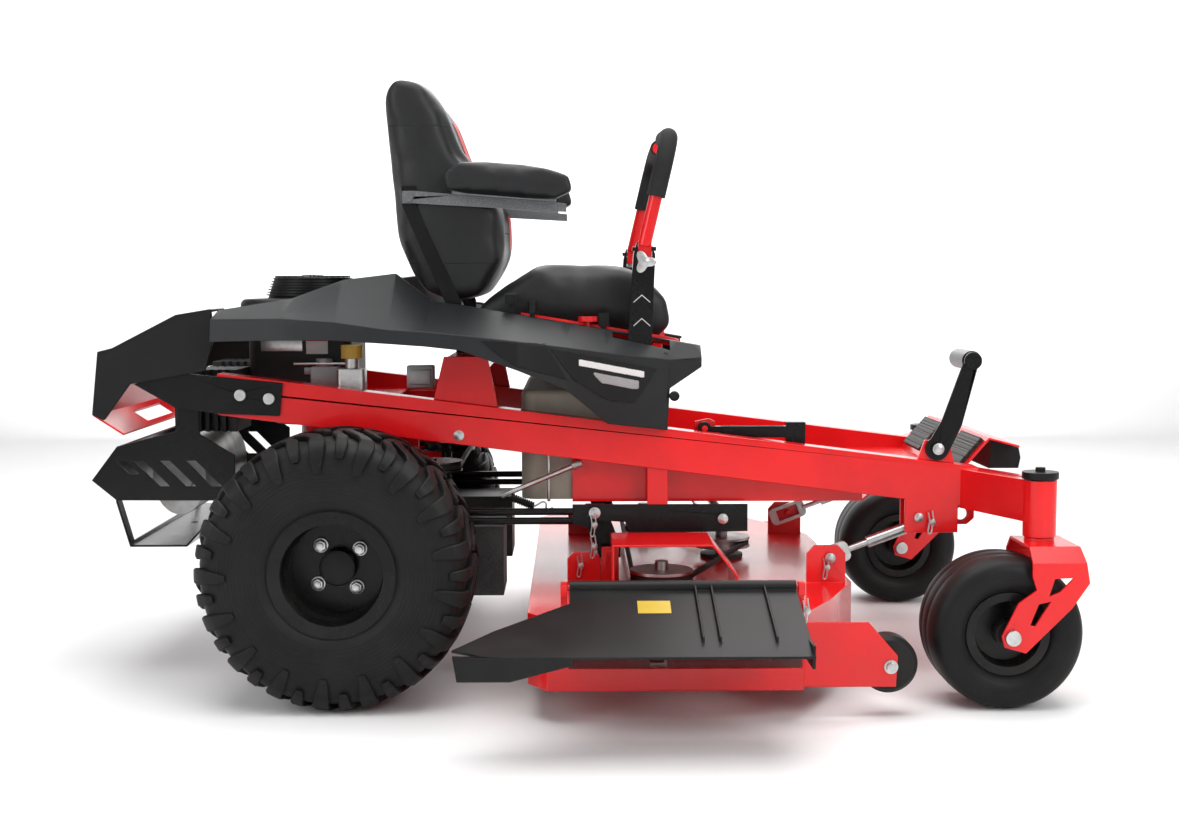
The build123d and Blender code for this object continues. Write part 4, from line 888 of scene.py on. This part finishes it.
finished(joined("fanScreen", rings), "chassis", made["blackPlastic"], 40)

# blank plates on the blower, the fuel mixer and a connector
plates = {
    "ratingPlate": ((-202, -131.2, 636), (-118, -130, 668), "zinc"),
    "noticePlate": ((-110, -131.2, 630), (-66, -130, 668), "whiteInk"),
    "noticeBand": ((-109, -132.0, 656), (-67, -131, 667), "redPaint"),
}
for name, (low, high, look) in plates.items():
    finished(boxPiece(name, low, high, 0.3), "chassis", made[look], 30)
mixer = {"body": ((-96, -168, 560), (-40, -132, 606), 3), "arm": ((-110, -160, 590), (-92, -150, 604), 1.5),
         "throat": ((-70, -150, 604), (-70, -150, 622), 17, 17, 1.5),
         "bowl": ((-70, -152, 536), (-70, -152, 562), 19, 22, 2),
         "port": ((-30, -150, 586), (-8, -150, 586), 14, 14, 1)}
parts = [boxPiece(name, *mixer[name]) for name in ("body", "arm")]
for name in ("throat", "bowl", "port"):
    start, end, radius, endRadius, soft = mixer[name]
    parts.append(rodPiece(name, start, end, radius, endRadius, soft=soft))
finished(joined("fuelMixer", parts), "chassis", made["castAlloy"], 34)
connector = {"plug": ((104, -236, 566), (158, -206, 612), 4), "lip": ((110, -241, 574), (152, -235, 604), 2)}
parts = [boxPiece(name, low, high, soft) for name, (low, high, soft) in connector.items()]
finished(joined("greyConnector", parts), "chassis", made["castAlloy"], 34)
print("engine dressed")

# console: red edge behind the fender, lever adjusters with their marks, thumb screw
edgeLine = [(330, 700), (330, 716), (612, 669), (640, 663), (640, 647)]
adjuster = {"centre": (569, 813), "face": 318.4, "reach": 17, "lobe": 6, "lobes": 3, "points": 42,
            "thick": 4, "bolt": (8, 5)}
chevron = {"heights": (690, 735), "face": 318.2, "left": 548, "middle": 564, "right": 580, "rise": 14,
           "wide": 1.6, "thick": 0.5}
for side, sign in sides:
    strip = sheetPiece(side + "ConsoleEdge", [(x, sign * 247.6, z) for x, z in edgeLine], 3, (0, -sign, 0))
    finished(strip, "chassis", made["redPaint"], 30)
    x, z = adjuster["centre"]
    lobes = []
    for i in range(adjuster["points"]):
        turn = 2 * pi * i / adjuster["points"]
        reach = adjuster["reach"] + adjuster["lobe"] * cos(adjuster["lobes"] * turn)
        lobes.append((x + reach * cos(turn), sign * adjuster["face"], z + reach * sin(turn)))
    plate = sheetPiece(side + "AdjusterPlate", lobes, adjuster["thick"], (0, sign, 0), 0.8)
    finished(plate, side + "_lever", made["zinc"], 30)
    hexBolt(side + "AdjusterBolt", (x, sign * (adjuster["face"] + adjuster["thick"]), z), (0, sign, 0),
            *adjuster["bolt"], side + "_lever")
    for j, low in enumerate(chevron["heights"]):
        lower = [(chevron["left"], low), (chevron["middle"], low + chevron["rise"]), (chevron["right"], low)]
        upper = [(x, z + chevron["wide"]) for x, z in reversed(lower)]
        mark = sheetPiece(side + "Chevron" + str(j),
                          [(x, sign * chevron["face"], z) for x, z in lower + upper],
                          chevron["thick"], (0, sign, 0), 0)
        finished(mark, side + "_lever", made["whiteInk"], 30)
thumbScrew = {"section": [(-344, 0.01), (-344, 9), (-349, 10), (-354, 9), (-356, 6), (-356, 0.01)],
              "centre": (625, 0, 558)}
thumb = ringPiece("thumbScrew", thumbScrew["section"], thumbScrew["centre"], "Y", 24)
finished(thumb, "chassis", made["blackPlastic"], 30)


# a thin raised panel cut from a grid, pressed sideways onto a shell
def moulded(name, corners, shell, sign, thick, material, soft=0.5, outside=560, body="chassis"):
    xs, zs = [c[0] for c in corners], [c[1] for c in corners]
    low, high = at(min(xs), sign * outside, min(zs)), at(max(xs), sign * outside, max(zs))
    deselect()
    bpy.ops.mesh.primitive_grid_add(x_subdivisions=48, y_subdivisions=28, size=1, location=(low + high) / 2,
                                    rotation=(pi / 2, 0, 0))
    piece = added(name)
    piece.scale = (high.x - low.x, high.z - low.z, 1)
    bpy.ops.object.transform_apply(location=True, rotation=True, scale=True)
    bpy.ops.object.mode_set(mode="EDIT")
    for start, end in zip(corners, corners[1:] + corners[:1]):
        start, end = at(start[0], 0, start[1]), at(end[0], 0, end[1])
        way = end - start
        bpy.ops.mesh.select_all(action="SELECT")
        bpy.ops.mesh.bisect(plane_co=start, plane_no=(-way.z, 0, way.x), clear_outer=True)
    bpy.ops.object.mode_set(mode="OBJECT")
    useModifier(piece, "SHRINKWRAP", target=shell, wrap_method="PROJECT", use_project_y=True,
                use_positive_direction=sign < 0, use_negative_direction=sign > 0)
    mended(piece)
    facing = sum(face.normal.y for face in piece.data.polygons)
    useModifier(piece, "SOLIDIFY", thickness=thick / 1000, offset=1.0 if facing * sign > 0 else -1.0)
    mended(piece)
    if soft:
        softenEdges(piece, soft, 1, 50)
    return finished(piece, body, material, 30, True)


# corners along the machine and up, clockwise, with thickness and finish
fenderPanels = {
    "Cheek": ([(263, 669), (380, 661), (421, 594), (330, 619), (297, 641)], 2.0, "blackPlastic"),
    "Brow": ([(388, 654), (590, 610), (548, 546), (494, 553), (432, 594)], 2.0, "blackPlastic"),
    "StripeHigh": ([(446, 631), (566, 606), (562, 595), (442, 620)], 2.6, "whiteInk"),
    "StripeLow": ([(470, 606), (556, 588), (549, 573), (488, 586)], 2.6, "castAlloy"),
}
chuteNotice = {"corners": [(540, 232), (596, 232), (596, 220), (540, 220)], "thick": 0.8, "outside": 800}
for side, sign in sides:
    for name, (corners, thick, look) in fenderPanels.items():
        moulded(side + "Fender" + name, corners, shapes[side + "_fender"], sign, thick, made[look])
moulded("chuteNotice", chuteNotice["corners"], shapes["discharge_chute"], -1, chuteNotice["thick"],
        made["yellowInk"], 0, chuteNotice["outside"], "chute")
print("console dressed")


# seams lie where rays in the given way meet a cushion
def seamOn(name, surface, start, end, steps, way, radius):
    points = []
    for i in range(steps + 1):
        place = at(*(a + (b - a) * i / steps for a, b in zip(start, end)))
        hit, spot, normal, face = surface.ray_cast(place, Vector(way))
        if hit:
            spot = spot - normal * 0.6 * radius / 1000
            points.append(((spot.x - axleX) * 1000, (spot.y - middleY) * 1000, spot.z * 1000))
    seam = wirePiece(name, points, radius, False, 3, "POLY")
    return finished(seam, "seat", made["foam"], 60)


seams = {"backRolls": (147, 168), "backChannels": (880, 960, 1040), "sideHeights": (812, 1080),
         "bottomRoll": 150, "bottomChannels": (360, 430, 500), "fine": 1.4, "roll": 1.5, "channel": 1.6}
tags = (("Right", -1), ("Left", 1))
for tag, sign in tags:
    for j, y in enumerate(seams["backRolls"]):
        seamOn("backSeam" + tag + str(j), seatBack, (500, sign * y, 800), (500, sign * y, 1120), 60,
               (-1, 0, 0), seams["fine"])
for j, z in enumerate(seams["backChannels"]):
    seamOn("backChannel" + str(j), seatBack, (500, -146, z), (500, 146, z), 50, (-1, 0, 0), seams["channel"])
for j, z in enumerate(seams["sideHeights"]):
    for tag, sign in tags:
        seamOn("sideSeam" + str(j) + tag, seatBack, (60, sign * 400, z), (320, sign * 400, z), 50,
               (0, -sign, 0), seams["fine"])
for tag, sign in tags:
    y = sign * seams["bottomRoll"]
    seamOn("bottomSeam" + tag, seatCushion, (290, y, 900), (600, y, 900), 60, (0, 0, -1), seams["roll"])
for j, x in enumerate(seams["bottomChannels"]):
    seamOn("bottomChannel" + str(j), seatCushion, (x, -150, 900), (x, 150, 900), 50, (0, 0, -1),
           seams["channel"])
print("seams sewn")

# pale floor that curves up into the walls, and soft lamps
bowl = {"section": [(0.0, 0.01), (0.0, 5500), (60, 6600), (450, 7600), (1500, 8200), (5200, 8600)],
        "centre": (428.35, -127.5, 0), "tones": ((0.86, 0.86, 0.86, 1), (0.88, 0.88, 0.88, 1))}
studio = ringPiece("studio", bowl["section"], bowl["centre"], "Z", 96)
studio.data.flip_normals()
material, sheet, spot = newFinish("paleFloor")
patch = sheet.noise(spot, 2.0)
closeFinish(sheet, sheet.tinted(patch, *bowl["tones"]), patch * 0.1 + 0.6, patch, 0.01)
studio.data.materials.append(material)
pickOnly(studio)
bpy.ops.object.shade_smooth()
lamps = {"overhead": {"place": (0.2, -0.6, 4.2), "turn": (0.0, 0.0, 0.0), "size": 4.0, "power": 180.0},
         "front": {"place": (2.6, -3.6, 2.6), "size": 2.0, "power": 70.0},
         "rear": {"place": (-3.2, -2.8, 2.0), "size": 2.0, "power": 45.0},
         "back": {"place": (0.4, 3.6, 3.2), "size": 3.0, "power": 90.0},
         "wall": {"place": (0.0, 4.2, 2.6), "turn": (radians(100), 0.0, 0.0), "size": 4.0, "power": 260.0}}
lampTarget = Vector((0, 0, 0.5))
roomLight = 0.45
for name, look in lamps.items():
    aim = (lampTarget - Vector(look["place"])).to_track_quat("-Z", "Y").to_euler()
    bpy.ops.object.light_add(type="AREA", location=look["place"], rotation=look.get("turn", aim))
    lamp = added(name + "Lamp")
    lamp.data.energy = look["power"]
    lamp.data.size = look["size"]
world = bpy.data.worlds.new("softRoom")
bpy.context.scene.world = world
world.use_nodes = True
world.node_tree.nodes["Background"].inputs[0].default_value = (1.0, 1.0, 1.0, 1)
world.node_tree.nodes["Background"].inputs[1].default_value = roomLight
